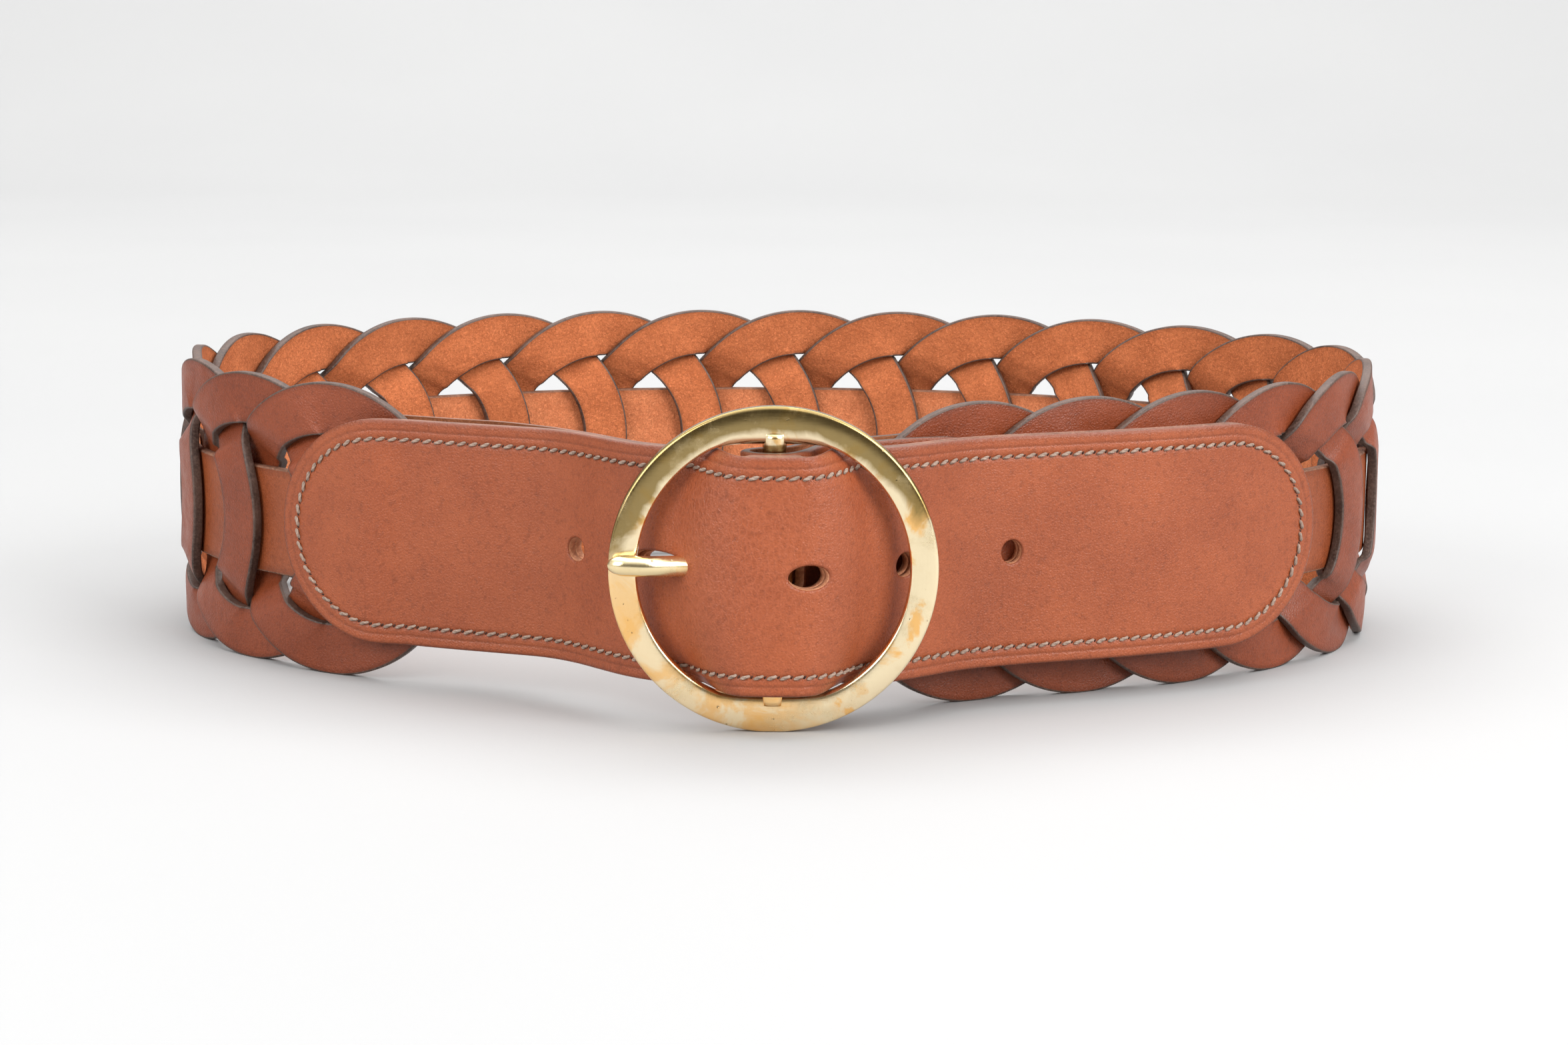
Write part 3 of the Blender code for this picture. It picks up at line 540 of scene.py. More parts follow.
THREAD = waxed_thread("waxed_thread", (0.400, 0.295, 0.235), (0.270, 0.190, 0.148))
# Near-black finish of the slits: painted shade of the pricked holes.
PRICK_SHADE = cut_edge("pricked_slit_shade", (0.030, 0.012, 0.007), (0.060, 0.022, 0.012), (0.8, 0.95))
BRASS = worn_brass("frame_brass", (0.950, 0.800, 0.530), (0.950, 0.560, 0.200), (0.760, 0.600, 0.340))
PRONG_BRASS = worn_brass("tongue_brass", (0.920, 0.760, 0.450), (0.930, 0.620, 0.270), (0.660, 0.520, 0.280))


# ---- rings and strap

def ring_quarter(free_end):
    strap_edge = STRAP_HALF_WIDTH + SKIN_GAP
    strap_out = math.asin(strap_edge / RING_OUTER)
    strap_in = math.asin(strap_edge / RING_INNER)
    lens_out = math.acos(RING_PITCH / RING_OUTER)
    spread = RING_OUTER ** 2 - RING_INNER ** 2
    cross_out = math.acos((RING_PITCH ** 2 + spread) / (2.0 * RING_PITCH * RING_OUTER))
    cross_in = math.acos(RING_PITCH / (2.0 * RING_INNER))
    leave_out = math.acos(RING_PITCH / (2.0 * RING_OUTER))
    leave_in = math.acos((RING_PITCH ** 2 - spread) / (2.0 * RING_PITCH * RING_INNER))
    lens_in = strap_in + LENS_SHARE * (cross_in - strap_in)
    outer = [0.0, 0.5 * strap_out, strap_out, lens_out, cross_out]
    inner = [0.0, 0.5 * strap_in, strap_in, lens_in, cross_in]
    for part in (1.0 / 3.0, 2.0 / 3.0, 1.0):
        outer.append(cross_out + part * (leave_out - cross_out))
        inner.append(cross_in + part * (leave_in - cross_in))
    outer += [0.5 * (leave_out + FOOT_ANGLE), FOOT_ANGLE]
    inner += [0.5 * (leave_in + CROWN_ANGLE), CROWN_ANGLE]
    layers = 0.0 if free_end else 1.0
    return [(o, i, layers * ro, layers * ri)
            for o, i, ro, ri in zip(outer, inner, OUTER_EDGE_RISES, INNER_EDGE_RISES)]


def ring_stations(first, last):
    far = ring_quarter(last)
    near = [(math.pi - o, math.pi - i, -ro, -ri) for o, i, ro, ri in reversed(ring_quarter(first))]
    upper = far + near
    lower = [(2.0 * math.pi - o, 2.0 * math.pi - i, ro, ri) for o, i, ro, ri in reversed(upper[1:-1])]
    return np.array(upper + lower)


def rounded(values, width=2):
    """Periodic smoothing by a small bell."""
    taps = np.arange(-3 * width, 3 * width + 1)
    bell = np.exp(-0.5 * (taps / width) ** 2)
    bell /= bell.sum()
    return sum(w * np.roll(values, t) for w, t in zip(bell, taps))


KINDS = {"front": 0, "back": 1, "edge": 2}
RING_SECTION, RING_SIDES = leather_section(RING_BAND, LEATHER, 10, RING_ROUNDING)
STRAP_SECTION, STRAP_SIDES = leather_section(2.0 * STRAP_HALF_WIDTH, LEATHER, 12, STRAP_ROUNDING)


def edge_rub(share, width):
    """One on a strip's edges, fading to zero at a share of its width."""
    return np.clip(1.0 - np.minimum(share, 1.0 - share) / width, 0.0, 1.0)


def ring(number):
    stations = ring_stations(number == 1, number == RING_COUNT)
    count = len(stations)

    def wrapped(column, more=0.0):
        return np.append(stations[:, column], stations[0, column] + more)

    turn = (np.arange(RING_STEPS) + 0.5) * 2.0 * math.pi / RING_STEPS
    order = np.append(np.arange(count), count).astype(float)
    place = np.interp(turn, wrapped(0, 2.0 * math.pi), order)
    inner_turn = np.interp(place, order, wrapped(1, 2.0 * math.pi))
    outer_rise = rounded(np.interp(place, order, wrapped(2)))
    inner_rise = rounded(np.interp(place, order, wrapped(3)))
    share, tall = RING_SECTION[:, 0], RING_SECTION[:, 1]

    def across(outer, inner):
        return outer[:, None] * (1.0 - share[None, :]) + inner[:, None] * share[None, :]

    reach = FIRST_RING_REACH + (number - 1) * RING_PITCH
    reach = reach + across(RING_OUTER * np.cos(turn), RING_INNER * np.cos(inner_turn))
    height = across(RING_OUTER * np.sin(turn), RING_INNER * np.sin(inner_turn))
    height = np.maximum(height, -RING_HEIGHT)
    wave = RING_WAVE * np.sin(3.0 * turn[:, None] + number)
    wave = wave * np.sin(1.7 * number + 2.0 * math.pi * share[None, :])
    rise = across(outer_rise, inner_rise) * LAYER + wave + tall[None, :] * LEATHER / 2.0
    points = at(reach, rise, RING_HEIGHT + height)
    rows, columns = points.shape[:2]
    tone = np.full(rows * columns, rng.uniform(0.35, 1.0))
    make_mesh(f"ring_{number:02d}", points.reshape(-1, 3), lattice(rows, columns, True, True),
              [RING_GRAIN, RING_FLESH, RING_EDGE], np.tile([KINDS[k] for k in RING_SIDES], rows),
              slot="ring_leather", replaces=(f"ring_link_{number:02d}",),
              attributes={"tone": tone, "rub": np.tile(edge_rub(share, 0.085), rows)})


def strap():
    reaches = np.linspace(STRAP_FIRST_REACH, LOOP_LENGTH + STRAP_LAST_REACH, STRAP_STEPS)
    share, tall = STRAP_SECTION[:, 0], STRAP_SECTION[:, 1]
    height = RING_HEIGHT + (share * 2.0 - 1.0) * STRAP_HALF_WIDTH
    wave = STRAP_WAVE * np.sin((reaches - FIRST_RING_REACH) / RING_PITCH * 2.0 * math.pi)
    points = at(reaches[:, None] + 0.0 * height[None, :],
                wave[:, None] + tall[None, :] * LEATHER / 2.0, height[None, :])
    rows, columns = points.shape[:2]
    faces = lattice(rows, columns, False, True).tolist() + end_caps(rows, columns)
    kinds = [KINDS[k] for _ in range(rows - 1) for k in STRAP_SIDES] + [KINDS["edge"]] * 2
    make_mesh("strap", points.reshape(-1, 3), faces, [STRAP_GRAIN, STRAP_FLESH, STRAP_EDGE], kinds,
              slot="strap_leather", replaces=("centre_strap",),
              attributes={"tone": np.full(rows * columns, 0.8), "rub": np.tile(edge_rub(share, 0.04), rows)})


# ---- sheets with rounded ends and holes

class Tab:
    """A flat tab with round ends, in (reach, height)."""

    def __init__(self, low, high, middle):
        self.low, self.high, self.middle = low, high, middle

    def outline(self, inset, step=OUTLINE_STEP):
        """Its outline inset from the edge, anticlockwise."""
        half, radius = TAB_HALF_WIDTH, TAB_HALF_WIDTH - inset
        count = max(8, int(round(math.pi * radius / step)))
        arc = (np.arange(count) + 0.5) * math.pi / count
        run = np.arange(self.low + half, self.high - half, step)
        run = np.linspace(self.low + half, self.high - half, len(run) + 1)
        bottom = np.stack([run, np.full(len(run), self.middle - radius)], axis=1)
        bulge, tall = radius * np.sin(arc), radius * np.cos(arc)
        right = np.stack([self.high - half + bulge, self.middle - tall], axis=1)
        top = np.stack([run[::-1], np.full(len(run), self.middle + radius)], axis=1)
        left = np.stack([self.low + half - bulge, self.middle + tall], axis=1)
        return np.concatenate([bottom, right, top, left])

    def inside(self, points):
        """Distance of each point from the edge."""
        x = np.clip(points[:, 0], self.low + TAB_HALF_WIDTH, self.high - TAB_HALF_WIDTH)
        return TAB_HALF_WIDTH - np.hypot(points[:, 0] - x, points[:, 1] - self.middle)

    def grid(self, half, step, margin):
        """Staggered points, those within the margin of the edge left out."""
        xs = np.arange(self.low, self.high, step)
        zs = np.arange(-half, half + step, step)
        gx, gz = np.meshgrid(xs, zs, indexing="ij")
        gx = gx + 0.5 * step * (np.arange(gz.shape[1]) % 2)[None, :]
        points = np.stack([gx.ravel(), self.middle + gz.ravel()], axis=1)
        return points[self.inside(points) > margin]

    def wall_kind(self, a, b):
        """Material of a wall: the outer edge, or a hole's wall."""
        return 2 if self.inside((a + b)[None, :] / 2.0)[0] < 0.3 * MM else 3


def oval(centre, half_long, half_tall, count=40):
    turn = circle(count)
    return np.stack([centre[0] + half_long * np.cos(turn), centre[1] + half_tall * np.sin(turn)], axis=1)


def flat_sheet(outline, holes, loose, in_hole):
    """Triangles between an outline and holes, through the loose points between them."""
    edges, start = [], 0
    for loop in [outline] + holes:
        n = len(loop)
        edges += [(start + k, start + (k + 1) % n) for k in range(n)]
        start += n
    points = np.concatenate([outline, *holes, loose])
    made = delaunay_2d_cdt([Vector(point) for point in points], edges, [], 1, 1e-9)
    verts = np.array([v[:] for v in made[0]])
    tris = np.array([f for f in made[2] if len(f) == 3])
    return verts, tris[~in_hole(verts[tris].mean(1))]


def border(tris):
    """Directed edges that belong to one triangle only."""
    both = np.concatenate([tris[:, [0, 1]], tris[:, [1, 2]], tris[:, [2, 0]]])
    seen = {(int(a), int(b)) for a, b in both}
    return [(a, b) for a, b in seen if (b, a) not in seen]


def round_off(distance, radius):
    near = np.clip(1.0 - distance / radius, 0.0, 1.0)
    return radius * (1.0 - np.sqrt(np.maximum(1.0 - near ** 2, 0.0)))


def groove(distance, centre, half, depth):
    return depth * np.clip(1.0 - ((distance - centre) / half) ** 2, 0.0, 1.0)


def thick_sheet(name, verts, tris, place, top, bottom, mats, kind_of, attributes, **options):
    """Leather between two heights over a placed sheet, walls included. Top and bottom are per point."""
    point, normal = place(verts[:, 0], verts[:, 1])
    upper = point + normal * top[:, None]
    lower = point + normal * bottom[:, None]
    n = len(verts)
    corner = upper[tris]
    turned = np.cross(corner[:, 1] - corner[:, 0], corner[:, 2] - corner[:, 0])
    if (turned * normal[tris].mean(1)).sum() < 0.0:
        tris = tris[:, ::-1]
    faces = tris.tolist() + (tris[:, ::-1] + n).tolist()
    kinds = [0] * len(tris) + [1] * len(tris)
    walls = border(tris)
    halfway = {}
    for wall in walls:
        for k in wall:
            halfway.setdefault(k, 2 * n + len(halfway))
    for a, b in walls:
        faces += [[b, a, halfway[a], halfway[b]], [halfway[b], halfway[a], a + n, b + n]]
        kinds += [kind_of(verts[a], verts[b])] * 2
    order = list(halfway)
    everything = np.concatenate([upper, lower, (upper[order] + lower[order]) / 2.0])
    full = {key: np.concatenate([v, v, v[order]]) for key, v in attributes.items()}
    make_mesh(name, everything, faces, mats, kinds, attributes=full, **options)


BILLET = Tab(BILLET_RIGHT_REACH, BILLET_LEFT_REACH, BILLET_HEIGHT)
PLAIN_HOLES = [oval((reach, BILLET_HEIGHT), HOLE_RADIUS, HOLE_RADIUS) for reach in HOLE_REACHES]


def hole_share(points, hole, grow=0.0):
    """Squared distance from an oval hole's middle, 1 on its edge."""
    middle = hole.mean(0)
    return (((points - middle) / (np.abs(hole - middle).max(0) + grow)) ** 2).sum(1)


def billet_sheet(insets, step, way):
    """The tab with its plain holes and the oval hole in use, as long as the tongue's slant needs."""
    reach, half_long = way
    in_use = oval((reach, BILLET_HEIGHT + PRONG_WAY_RISE), half_long, PRONG_WAY_HALF_HEIGHT, 56)
    holes = PLAIN_HOLES + [in_use]
    loose = [BILLET.outline(inset * MM) for inset in insets]
    for hole in holes:
        middle = hole.mean(0)
        size = np.abs(hole - middle).max(0)
        loose += [middle + (hole - middle) * (1.0 + grow * MM / size) for grow in HOLE_GROWTHS]
    half = TAB_HALF_WIDTH - (insets[-1] + 0.5) * MM
    loose = np.concatenate([*loose, BILLET.grid(half, step, (insets[-1] + 0.35) * MM)])
    good = BILLET.inside(loose) > 0.05 * MM
    for hole in holes:
        good &= hole_share(loose, hole, 0.12 * MM) > 1.0

    def in_hole(points):
        return np.any([hole_share(points, hole) <= 0.985 for hole in holes], axis=0)

    return *flat_sheet(BILLET.outline(0.0), holes, loose[good], in_hole), holes


def hole_distance(points, holes):
    best = np.full(len(points), 1.0)
    for hole in holes:
        size = np.abs(hole - hole.mean(0)).max(0)
        best = np.minimum(best, (np.sqrt(hole_share(points, hole)) - 1.0) * size.min())
    return np.maximum(best, 0.0)


def billet_top():
    verts, tris, holes = billet_sheet(FACE_INSETS, FACE_GRID, FACE_WAY)
    distance = BILLET.inside(verts)
    to_hole = hole_distance(verts, holes)
    crease = groove(distance, CREASE_INSET, *CREASE_GROOVE)
    swell = 0.12 * MM * np.sin(verts[:, 0] / (19.0 * MM)) * np.sin((verts[:, 1] - 3.0 * MM) / (11.0 * MM))
    swell *= np.clip(distance / (8.0 * MM), 0.0, 1.0) * np.clip(to_hole / (3.0 * MM), 0.0, 1.0)
    top = FACE_LEATHER / 2.0 - round_off(distance, FACE_ROUNDING) - round_off(to_hole, HOLE_ROUNDING)
    top = top - groove(distance, STITCH_INSET, *SEAM_GROOVE) - crease + swell * 0.5
    crumple = np.exp(-0.5 * ((verts[:, 0] - 6.0 * MM) / (11.0 * MM)) ** 2)
    crumple *= 0.55 + 0.45 * np.cos((verts[:, 1] - 40.0 * MM) / (12.0 * MM))
    rub = np.clip(1.0 - distance / (1.0 * MM), 0.0, 1.0) + 0.5 * np.clip(1.0 - to_hole / (0.5 * MM), 0.0, 1.0)
    rub = rub + 0.45 * (crease / CREASE_GROOVE[1])
    thick_sheet("billet_top", verts, tris, face_surface, top,
                np.full(len(verts), -FACE_LEATHER / 2.0 - PLATES_MEET),
                [FACE_GRAIN, FACE_BACK, FACE_EDGE, RAW_EDGE], BILLET.wall_kind,
                {"crumple": np.clip(crumple, 0.0, 1.0), "rub": np.clip(rub, 0.0, 1.0),
                 "tone": np.ones(len(verts))},
                slot="billet_leather", replaces=("billet_face",))


def billet_back():
    verts, tris, _ = billet_sheet(LINING_INSETS, LINING_GRID, LINING_WAY)
    distance = BILLET.inside(verts)
    lower = -LINING_LEATHER / 2.0 + round_off(distance, LINING_ROUNDING)
    lower = lower + groove(distance, STITCH_INSET, *BACK_SEAM_GROOVE)
    thick_sheet("billet_back", verts, tris, lining_surface,
                np.full(len(verts), LINING_LEATHER / 2.0 + PLATES_MEET), lower,
                [FACE_BACK, LINING_GRAIN, FACE_EDGE, RAW_EDGE], BILLET.wall_kind,
                {"crumple": np.zeros(len(verts)), "rub": np.clip(1.0 - distance / (1.0 * MM), 0.0, 1.0),
                 "tone": np.ones(len(verts))},
                slot="lining_leather", replaces=("billet_lining",))


# ---- stitches

def unit_stitch(sides=8, rows=9):
    """Stitch of length and radius 1 along X, with two plies twisted round each other."""
    share = np.linspace(0.0, 1.0, rows)
    turn = circle(sides)
    width = np.sqrt(np.maximum(1.0 - np.abs(share * 2.0 - 1.0) ** 3.2, 0.0)) * 0.97 + 0.03
    x = (share - 0.5)[:, None] + 0.0 * turn[None, :]
    ply = 0.5 + 0.5 * np.cos(2.0 * (turn[None, :] - share[:, None] * 5.0))
    radius = width[:, None] * (0.86 + 0.16 * ply)
    return x, radius * np.cos(turn)[None, :], radius * np.sin(turn)[None, :], ply


def stitches(name, surface_of, path, closed, lift, side, replaces, slits=True):
    """A row of slanted saddle stitches along a path of (reach, height), and dark slits between them, painted
    shade for the pricked holes.
    """
    path = np.concatenate([path, path[:1]]) if closed else path
    point, normal = surface_of(path[:, 0], path[:, 1])
    point = point + normal * (lift * side)
    length = walked(point)
    count = int(round(length[-1] / STITCH_PITCH))

    def axes(where):
        """Ways ahead, across and outwards on the seam."""
        ahead = unit(looked_up(where + 0.6 * MM, length, point) - looked_up(where - 0.6 * MM, length, point))
        out = unit(looked_up(where, length, normal)) * side
        out = unit(out - ahead * (out * ahead).sum(-1, keepdims=True))
        return ahead, np.cross(out, ahead), out

    middle = (np.arange(count) + 0.5) * length[-1] / count
    ahead, across, out = axes(middle)
    slant = (STITCH_SLANT + rng.uniform(-0.05, 0.05, count))[:, None]
    direction = ahead * np.cos(slant) + across * np.sin(slant)
    sideways = -ahead * np.sin(slant) + across * np.cos(slant)
    x, y, z, ply = unit_stitch()
    size = (STITCH_LENGTH * rng.uniform(0.95, 1.03, count))[:, None, None]
    thick = (STITCH_RADIUS * rng.uniform(0.93, 1.06, count))[:, None, None]
    arch = STITCH_ARCH * (1.0 - (2.0 * x) ** 2) + 0.02 * MM
    verts = (looked_up(middle, length, point)[:, None, None, :]
             + direction[:, None, None, :] * (x * size)[..., None]
             + sideways[:, None, None, :] * (y * thick)[..., None]
             + out[:, None, None, :] * (z * thick + arch)[..., None])
    rows, sides = x.shape
    one = lattice(rows, sides, False, True).tolist() + end_caps(rows, sides)
    faces = [[i + k * rows * sides for i in face] for k in range(count) for face in one]
    make_mesh(name, verts.reshape(-1, 3), faces, [THREAD], slot="linen_thread", replaces=replaces,
              attributes={"ply": np.tile(ply.ravel(), count)})
    if not slits:
        return
    # Dark slits between the stitches: painted shade standing in for the pricked holes, which are not cut into
    # the leather.
    between = np.arange(count + (0 if closed else 1)) * length[-1] / count
    ahead, across, out = axes(between)
    long_way = ahead * 0.55 + across * 0.83
    short_way = ahead * 0.83 - across * 0.55
    turn = (np.arange(8) * math.pi / 4.0)[None, :, None]
    spot = looked_up(between, length, point)
    rim = (spot[:, None, :] + long_way[:, None, :] * (SLIT_HALF_LENGTH * np.cos(turn))
           + short_way[:, None, :] * (SLIT_HALF_WIDTH * np.sin(turn)) - out[:, None, :] * 0.22 * MM)
    crown = spot - out * 0.02 * MM
    verts = np.concatenate([rim, crown[:, None, :]], axis=1).reshape(-1, 3)
    one = [[j, (j + 1) % 8, 8] for j in range(8)] + [list(range(7, -1, -1))]
    faces = [[i + 9 * k for i in face] for k in range(len(between)) for face in one]
    make_mesh(name + "_slits", verts, faces, [PRICK_SHADE], slot="billet_leather")


def billet_seams():
    path = BILLET.outline(STITCH_INSET, SEAM_STEP)
    stitches("billet_stitches", face_surface, path, True, FACE_LEATHER / 2.0 - 0.02 * MM, 1.0,
             ("billet_stitching",))
    stitches("billet_back_stitches", lining_surface, path, True, LINING_LEATHER / 2.0 - 0.05 * MM, -1.0,
             (), slits=False)


# ---- chape

def chape_path():
    """Plan points and normals down the folded leather's middle, and the leaf's reach at each."""
    outer = np.linspace(CHAPE_REACH, 0.0, 160)
    turn = np.linspace(0.0, math.pi, 40)[1:-1]
    reach = np.concatenate([outer, CHAPE_FOLD_RADIUS * np.sin(turn), outer[::-1]])
    rise_out, rise_in = along(CHAPE_OUTER_RISES, outer), along(CHAPE_INNER_RISES, outer)
    rise = np.concatenate([rise_out, FRAME_RISE + CHAPE_FOLD_RADIUS * np.cos(turn), rise_in[::-1]])
    points = plan(reach, rise)
    ahead = unit(np.gradient(points, axis=0))
    normals = np.stack([ahead[:, 1], -ahead[:, 0]], axis=1)
    out = on_loop(LOOP_NORMALS, np.array([CHAPE_REACH]))[0]
    if normals[0] @ out < 0.0:
        normals = -normals
    return walked(points), points, normals


CHAPE_LENGTH, CHAPE_POINTS, CHAPE_NORMALS = chape_path()


def chape_surface(run, height):
    flat = looked_up(run, CHAPE_LENGTH, CHAPE_POINTS)
    out = unit(looked_up(run, CHAPE_LENGTH, CHAPE_NORMALS))
    level = np.zeros(flat.shape[:-1])[..., None]
    point = np.concatenate([flat, np.asarray(height)[..., None] + level], axis=-1)
    return point, np.concatenate([out, level], axis=-1)


def chape():
    tab = Tab(0.0, CHAPE_LENGTH[-1], CHAPE_HEIGHT)
    fold = CHAPE_LENGTH[-1] / 2.0
    turn = circle(48)
    slot_x = np.sign(np.cos(turn)) * np.abs(np.cos(turn)) ** SLOT_SQUARENESS * SLOT_HALF_RUN
    slot_z = np.sign(np.sin(turn)) * np.abs(np.sin(turn)) ** SLOT_SQUARENESS * SLOT_HALF_HEIGHT
    slot = np.stack([fold + slot_x, BILLET_HEIGHT + slot_z], axis=1)

    def in_slot(points, grow=-0.02 * MM):
        local = np.abs(points - slot.mean(0)) / (np.array([SLOT_HALF_RUN, SLOT_HALF_HEIGHT]) + grow)
        return (local ** (2.0 / SLOT_SQUARENESS)).sum(1) < 1.0

    loose = [tab.outline(inset * MM) for inset in CHAPE_INSETS]
    loose = np.concatenate([*loose, tab.grid(TAB_HALF_WIDTH - 5.5 * MM, CHAPE_GRID, 5.4 * MM)])
    loose = loose[(tab.inside(loose) > 0.05 * MM) & ~in_slot(loose, 0.2 * MM)]
    verts, tris = flat_sheet(tab.outline(0.0), [slot], loose, in_slot)
    distance = tab.inside(verts)
    thick_sheet("chape_leather_fold", verts, tris, chape_surface,
                CHAPE_LEATHER / 2.0 - round_off(distance, 0.55 * MM),
                -CHAPE_LEATHER / 2.0 + round_off(distance, 0.3 * MM),
                [CHAPE_GRAIN, FACE_BACK, RING_EDGE, RAW_EDGE], tab.wall_kind,
                {"crumple": np.zeros(len(verts)), "rub": np.clip(1.0 - distance / (0.9 * MM), 0.0, 1.0),
                 "tone": np.ones(len(verts))},
                slot="chape_leather", replaces=("chape",))
    seam = tab.outline(STITCH_INSET, SEAM_STEP)
    seam = seam[seam[:, 0] > fold + CHAPE_SEAM_BEYOND_FOLD]
    start = int(np.argmin(seam[:, 1] * 1000.0 - seam[:, 0]))
    stitches("chape_stitches", chape_surface, np.roll(seam, -start, axis=0), False,
             CHAPE_LEATHER / 2.0 - 0.02 * MM, 1.0, ("chape_stitching",))


# ---- buckle

BUCKLE_MIDDLE = at(0.0, FRAME_RISE, FRAME_HEIGHT)
BUCKLE_OUT = np.append(on_loop(LOOP_NORMALS, 0.0), 0.0)
BUCKLE_UP = np.array([0.0, 0.0, 1.0])
BUCKLE_RIGHT = np.cross(BUCKLE_UP, BUCKLE_OUT)
BUCKLE_RIGHT *= np.sign(BUCKLE_RIGHT[0])


def on_buckle(right, up, out):
    """World points from distances to the right, upwards and outwards of the centre bar's middle."""
    right, up, out = np.broadcast_arrays(right, up, out)
    return (BUCKLE_MIDDLE + right[..., None] * BUCKLE_RIGHT + up[..., None] * BUCKLE_UP
            + out[..., None] * BUCKLE_OUT)


def opening_radius(turn):
    """Distance from the middle to the opening's edge: round sides and flats at the top and bottom."""
    flat = FRAME_OPENING_HALF_HEIGHT / np.maximum(np.abs(np.sin(turn)), 1e-6)
    sharp = 40.0
    return (FRAME_OPENING_RADIUS ** -sharp + flat ** -sharp) ** (-1.0 / sharp)


def rim_radius(turn):
    """The frame's outer circle, with the small flat it stands on."""
    foot = np.where(np.sin(turn) < 0.0, FRAME_HEIGHT / np.maximum(-np.sin(turn), 1e-6), 1.0)
    return np.minimum(FRAME_RADIUS, foot)


def tube(points, radii, sides):
    """Round bar through points, its cross-section kept square to the way it runs."""
    ahead = unit(np.gradient(points, axis=0))
    side = unit(np.cross(ahead, BUCKLE_UP[None, :] + 0.0 * ahead))
    other = np.cross(side, ahead)
    turn = circle(sides)
    verts = (points[:, None, :] + side[:, None, :] * (radii[:, None] * np.cos(turn))[..., None]
             + other[:, None, :] * (radii[:, None] * np.sin(turn))[..., None])
    faces = lattice(len(points), sides, False, True).tolist() + end_caps(len(points), sides)
    return verts.reshape(-1, 3), faces


def join(parts):
    verts, faces, start = [], [], 0
    for v, f in parts:
        verts.append(v)
        faces += [[int(i) + start for i in face] for face in f]
        start += len(v)
    return np.concatenate(verts), faces


def frame_ring():
    turn = circle(FRAME_STEPS)
    section, _ = leather_section(7.0 * MM, FRAME_THICKNESS, 12, FRAME_ROUNDING)
    share, tall = section[:, 0], section[:, 1]
    outer, inner = rim_radius(turn)[:, None], opening_radius(turn)[:, None]
    radius = outer * (1.0 - share)[None, :] + inner * share[None, :]
    crown = FRAME_CROWN * (1.0 - (2.0 * share - 1.0) ** 2)
    depth = tall * (FRAME_THICKNESS / 2.0 - FRAME_CROWN) + np.sign(tall) * crown
    verts = on_buckle(radius * np.cos(turn)[:, None], radius * np.sin(turn)[:, None], depth[None, :])
    return verts.reshape(-1, 3), lattice(len(turn), len(section), True, True).tolist()


def nearness(verts, middle, half):
    """One near a place on the frame's circle, zero away from it. Angles in degrees from the right."""
    local = verts - BUCKLE_MIDDLE
    turn = np.degrees(np.arctan2(local @ BUCKLE_UP, local @ BUCKLE_RIGHT))
    away = np.abs((turn - middle + 180.0) % 360.0 - 180.0)
    return 1.0 - ease((away - half * 0.55) / (half * 0.9))


def rest_pad():
    """Small rounded seat for the tongue's tip on the frame's side."""
    rows, sides = 13, 28
    tilt = np.linspace(-math.pi / 2.0, math.pi / 2.0, rows)[:, None]
    turn = circle(sides)[None, :]
    wide, deep, tall = REST_PAD
    middle = (FRAME_RADIUS + FRAME_OPENING_RADIUS) / 2.0
    verts = on_buckle(wide * np.cos(tilt) * np.cos(turn) - middle,
                      tall * np.cos(tilt) * np.sin(turn) + PRONG_TIP_RISE * 0.9,
                      deep * np.sin(tilt) + FRAME_THICKNESS / 2.0 - 0.62 * MM)
    return verts.reshape(-1, 3), lattice(rows, sides, False, True).tolist()


def centre_bar(rows=60, sides=40):
    half = FRAME_OPENING_HALF_HEIGHT + 2.0 * MM
    turn = circle(sides)[None, :]
    verts = on_buckle(BAR_RADIUS * np.cos(turn), np.linspace(-half, half, rows)[:, None],
                      BAR_RADIUS * np.sin(turn) * 0.98)
    return verts.reshape(-1, 3), lattice(rows, sides, False, True).tolist() + end_caps(rows, sides)


def buckle_frame():
    verts, faces = join([frame_ring(), centre_bar(), rest_pad()])
    local = verts - BUCKLE_MIDDLE
    from_middle = np.hypot(local @ BUCKLE_RIGHT, local @ BUCKLE_UP)
    across = (from_middle - FRAME_OPENING_RADIUS) / (FRAME_RADIUS - FRAME_OPENING_RADIUS)
    # Painted dark reflection over the frame's top, strongest towards the rim, and over the whole centre bar;
    # painted orange reflection of the leather low on the left.
    painted_dark_reflection = nearness(verts, 100.0, 74.0) * (0.30 + 0.70 * np.clip(across * 1.6, 0.0, 1.0))
    painted_dark_reflection = np.where(from_middle < FRAME_OPENING_HALF_HEIGHT, 1.0, painted_dark_reflection)
    make_mesh("buckle_ring", verts, faces, [BRASS], body="buckle", slot="brass", replaces=("buckle_frame",),
              attributes={"painted_dark_reflection": painted_dark_reflection, "warm": 0.8 * nearness(verts, 232.0, 55.0)})


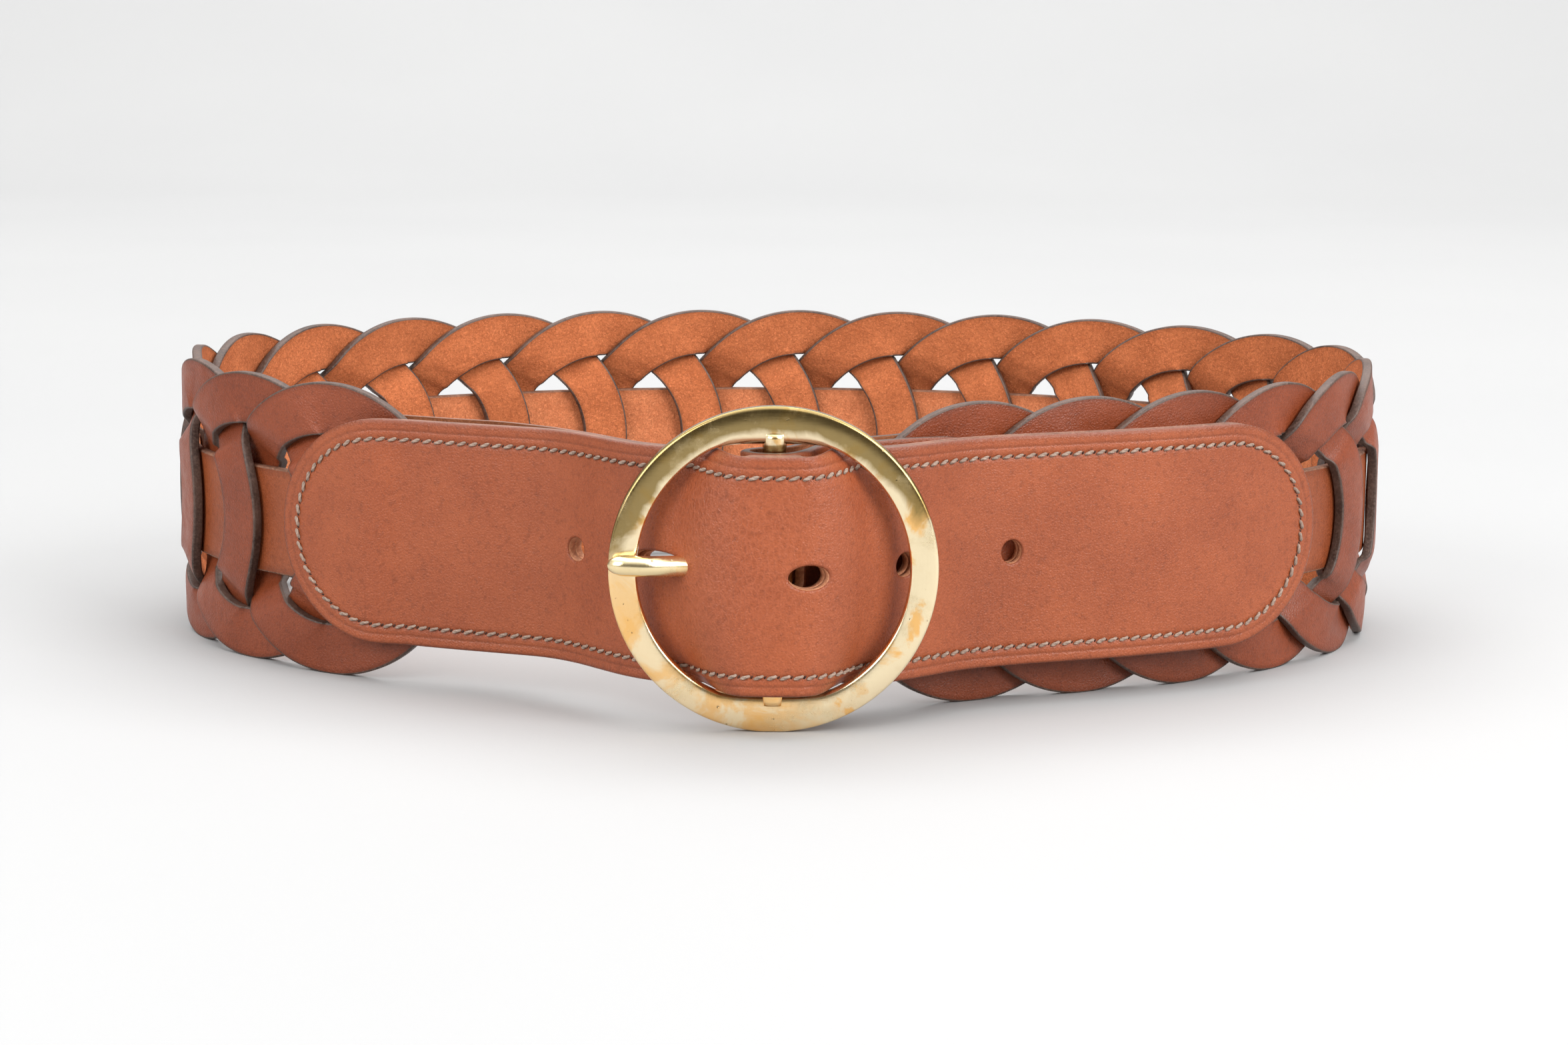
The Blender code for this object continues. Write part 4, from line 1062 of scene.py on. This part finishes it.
def prong():
    root = BAR_RADIUS + LOOP_CLEARANCE + 0.4 * MM
    top = FRAME_THICKNESS / 2.0 + PRONG_ON_FRAME + PRONG_RADIUS
    level = BILLET_HEIGHT - FRAME_HEIGHT
    taper = 4.2 * MM
    run = np.concatenate([np.linspace(root, 30.0 * MM, 90), np.linspace(30.0 * MM, PRONG_LENGTH, 40)[1:]])
    tip = np.clip((run - (PRONG_LENGTH - taper)) / taper, 0.0, 1.0)
    out = top * ease((run - PRONG_BEND_REACH) / (PRONG_CLIMB_REACH - PRONG_BEND_REACH)) - 0.9 * MM * tip ** 2
    radii = PRONG_RADIUS * np.sqrt(np.maximum(1.0 - (tip * 0.995) ** 2.3, 0.0))
    bar = tube(on_buckle(-run, level + PRONG_TIP_RISE * ease(run / PRONG_LENGTH), out), radii, 36)
    inner = BAR_RADIUS + LOOP_CLEARANCE
    outer = inner + PRONG_LOOP_WALL
    half = PRONG_LOOP_HALF_HEIGHT
    lower = [(inner, -half + 0.3 * MM), (inner + 0.3 * MM, -half), (outer - 0.5 * MM, -half),
             (outer - 0.1 * MM, -half + 0.4 * MM), (outer, -half + 1.0 * MM)]
    section = np.array(lower + [(radius, -height) for radius, height in reversed(lower)])
    turn = circle(64)[:, None]
    eye = on_buckle(section[None, :, 0] * np.cos(turn), section[None, :, 1] + level,
                    section[None, :, 0] * np.sin(turn))
    verts, faces = join([bar, (eye.reshape(-1, 3), lattice(64, len(section), True, True).tolist())])
    # A little of the painted dark reflection and of the painted orange reflection on the tongue as well.
    make_mesh("buckle_tongue", verts, faces, [PRONG_BRASS], body="tongue", slot="prong_brass",
              replaces=("prong",),
              attributes={"painted_dark_reflection": np.full(len(verts), 0.22), "warm": np.full(len(verts), 0.1)})


# ---- everything

for number in range(1, RING_COUNT + 1):
    ring(number)
strap()
billet_top()
billet_back()
billet_seams()
chape()
buckle_frame()
prong()

# ---- floor, light and camera

FLOOR_NEAR, FLOOR_FAR, WALL_TOP, SWEEP_RADIUS, FLOOR_HALF_WIDTH = -14.0, 1.3, 2.5, 0.9, 9.0


def backdrop():
    """Floor that sweeps up into a wall behind, a hair below the belt's foot."""
    line = [(FLOOR_NEAR + k / 9.6 * (FLOOR_FAR - FLOOR_NEAR), 0.0) for k in range(10)]
    for k in range(10, 20):
        turn = (k / 9.6 - 1.0) * math.pi / 2.0
        line.append((FLOOR_FAR + SWEEP_RADIUS * math.sin(turn), SWEEP_RADIUS * (1.0 - math.cos(turn))))
    wall = FLOOR_FAR + SWEEP_RADIUS
    for k in range(20, 25):
        line.append((wall, SWEEP_RADIUS + (k / 24.0 - 0.8) / 0.2 * (WALL_TOP - SWEEP_RADIUS)))
    verts = [(x, y, z - 0.05 * MM) for y, z in line for x in (-FLOOR_HALF_WIDTH, FLOOR_HALF_WIDTH)]
    mesh = bpy.data.meshes.new("floor")
    mesh.from_pydata(verts, [], [(2 * k, 2 * k + 1, 2 * k + 3, 2 * k + 2) for k in range(len(line) - 1)])
    mesh.materials.append(seamless_paper("seamless_paper"))
    mesh.shade_smooth()
    floor = bpy.data.objects.new("floor", mesh)
    bpy.context.scene.collection.objects.link(floor)


def softbox(name, place, target, size, power):
    data = bpy.data.lights.new(name, "AREA")
    data.shape = "RECTANGLE"
    data.size, data.size_y = size
    data.energy = power
    lamp = bpy.data.objects.new(name, data)
    bpy.context.scene.collection.objects.link(lamp)
    lamp.location = place
    lamp.rotation_mode = "QUATERNION"
    lamp.rotation_quaternion = (Vector(target) - Vector(place)).to_track_quat("-Z", "Y")


def room():
    """Nearly white surroundings, darker on the side behind the camera and below the lamps."""
    world = bpy.data.worlds.new("studio")
    bpy.context.scene.world = world
    world.use_nodes = True
    nodes = Nodes(world.node_tree)
    way = nodes.node("ShaderNodeTexCoord").outputs["Generated"]
    way = nodes.node("ShaderNodeSeparateXYZ", {"Vector": way})
    side = nodes.range(way.outputs["Y"], -0.75, -0.25, 1.0, 0.0, "SMOOTHSTEP")
    top = nodes.range(way.outputs["Z"], 0.35, 0.75, 1.0, 0.0, "SMOOTHSTEP")
    colour = nodes.mix(nodes.math("MULTIPLY", side, top), (1.0, 1.0, 1.0), (0.20, 0.19, 0.17))
    nodes.fill(world.node_tree.nodes["Background"], {"Color": colour, "Strength": 0.86})


backdrop()
softbox("top_box", (0.10, 0.15, 1.50), (0.0, 0.02, 0.03), (2.6, 2.4), 30.0)
softbox("front_left_box", (-0.95, -1.05, 0.75), (0.0, 0.0, 0.03), (0.9, 0.9), 15.0)
softbox("front_right_box", (1.10, -0.95, 0.85), (0.0, 0.0, 0.03), (1.0, 1.0), 27.0)
softbox("backdrop_box", (0.0, 1.45, 2.2), (0.0, 2.0, 0.5), (4.0, 1.2), 60.0)
room()

CAMERA_PLACE = Vector((0.532 * MM, -781.2 * MM, 163.72 * MM))
PITCH = math.radians(9.928)
PAN = math.radians(0.029)
ROLL = math.radians(0.563)
forward = Vector((math.sin(PAN) * math.cos(PITCH), math.cos(PAN) * math.cos(PITCH), -math.sin(PITCH)))
level = Vector((math.cos(PAN), -math.sin(PAN), 0.0))
upright = level.cross(forward)
right = level * math.cos(ROLL) + upright * math.sin(ROLL)
up = -level * math.sin(ROLL) + upright * math.cos(ROLL)
camera_data = bpy.data.cameras.new("camera")
camera_data.sensor_width = 36.0
camera_data.lens = 76.114
camera_data.clip_start = 0.05
camera_data.clip_end = 20.0
camera = bpy.data.objects.new("camera", camera_data)
bpy.context.scene.collection.objects.link(camera)
camera.matrix_world = Matrix.Translation(CAMERA_PLACE) @ Matrix((right, up, -forward)).transposed().to_4x4()
bpy.context.scene.camera = camera
bpy.context.scene.view_settings.view_transform = "Standard"
bpy.context.scene.view_settings.exposure = 0.0
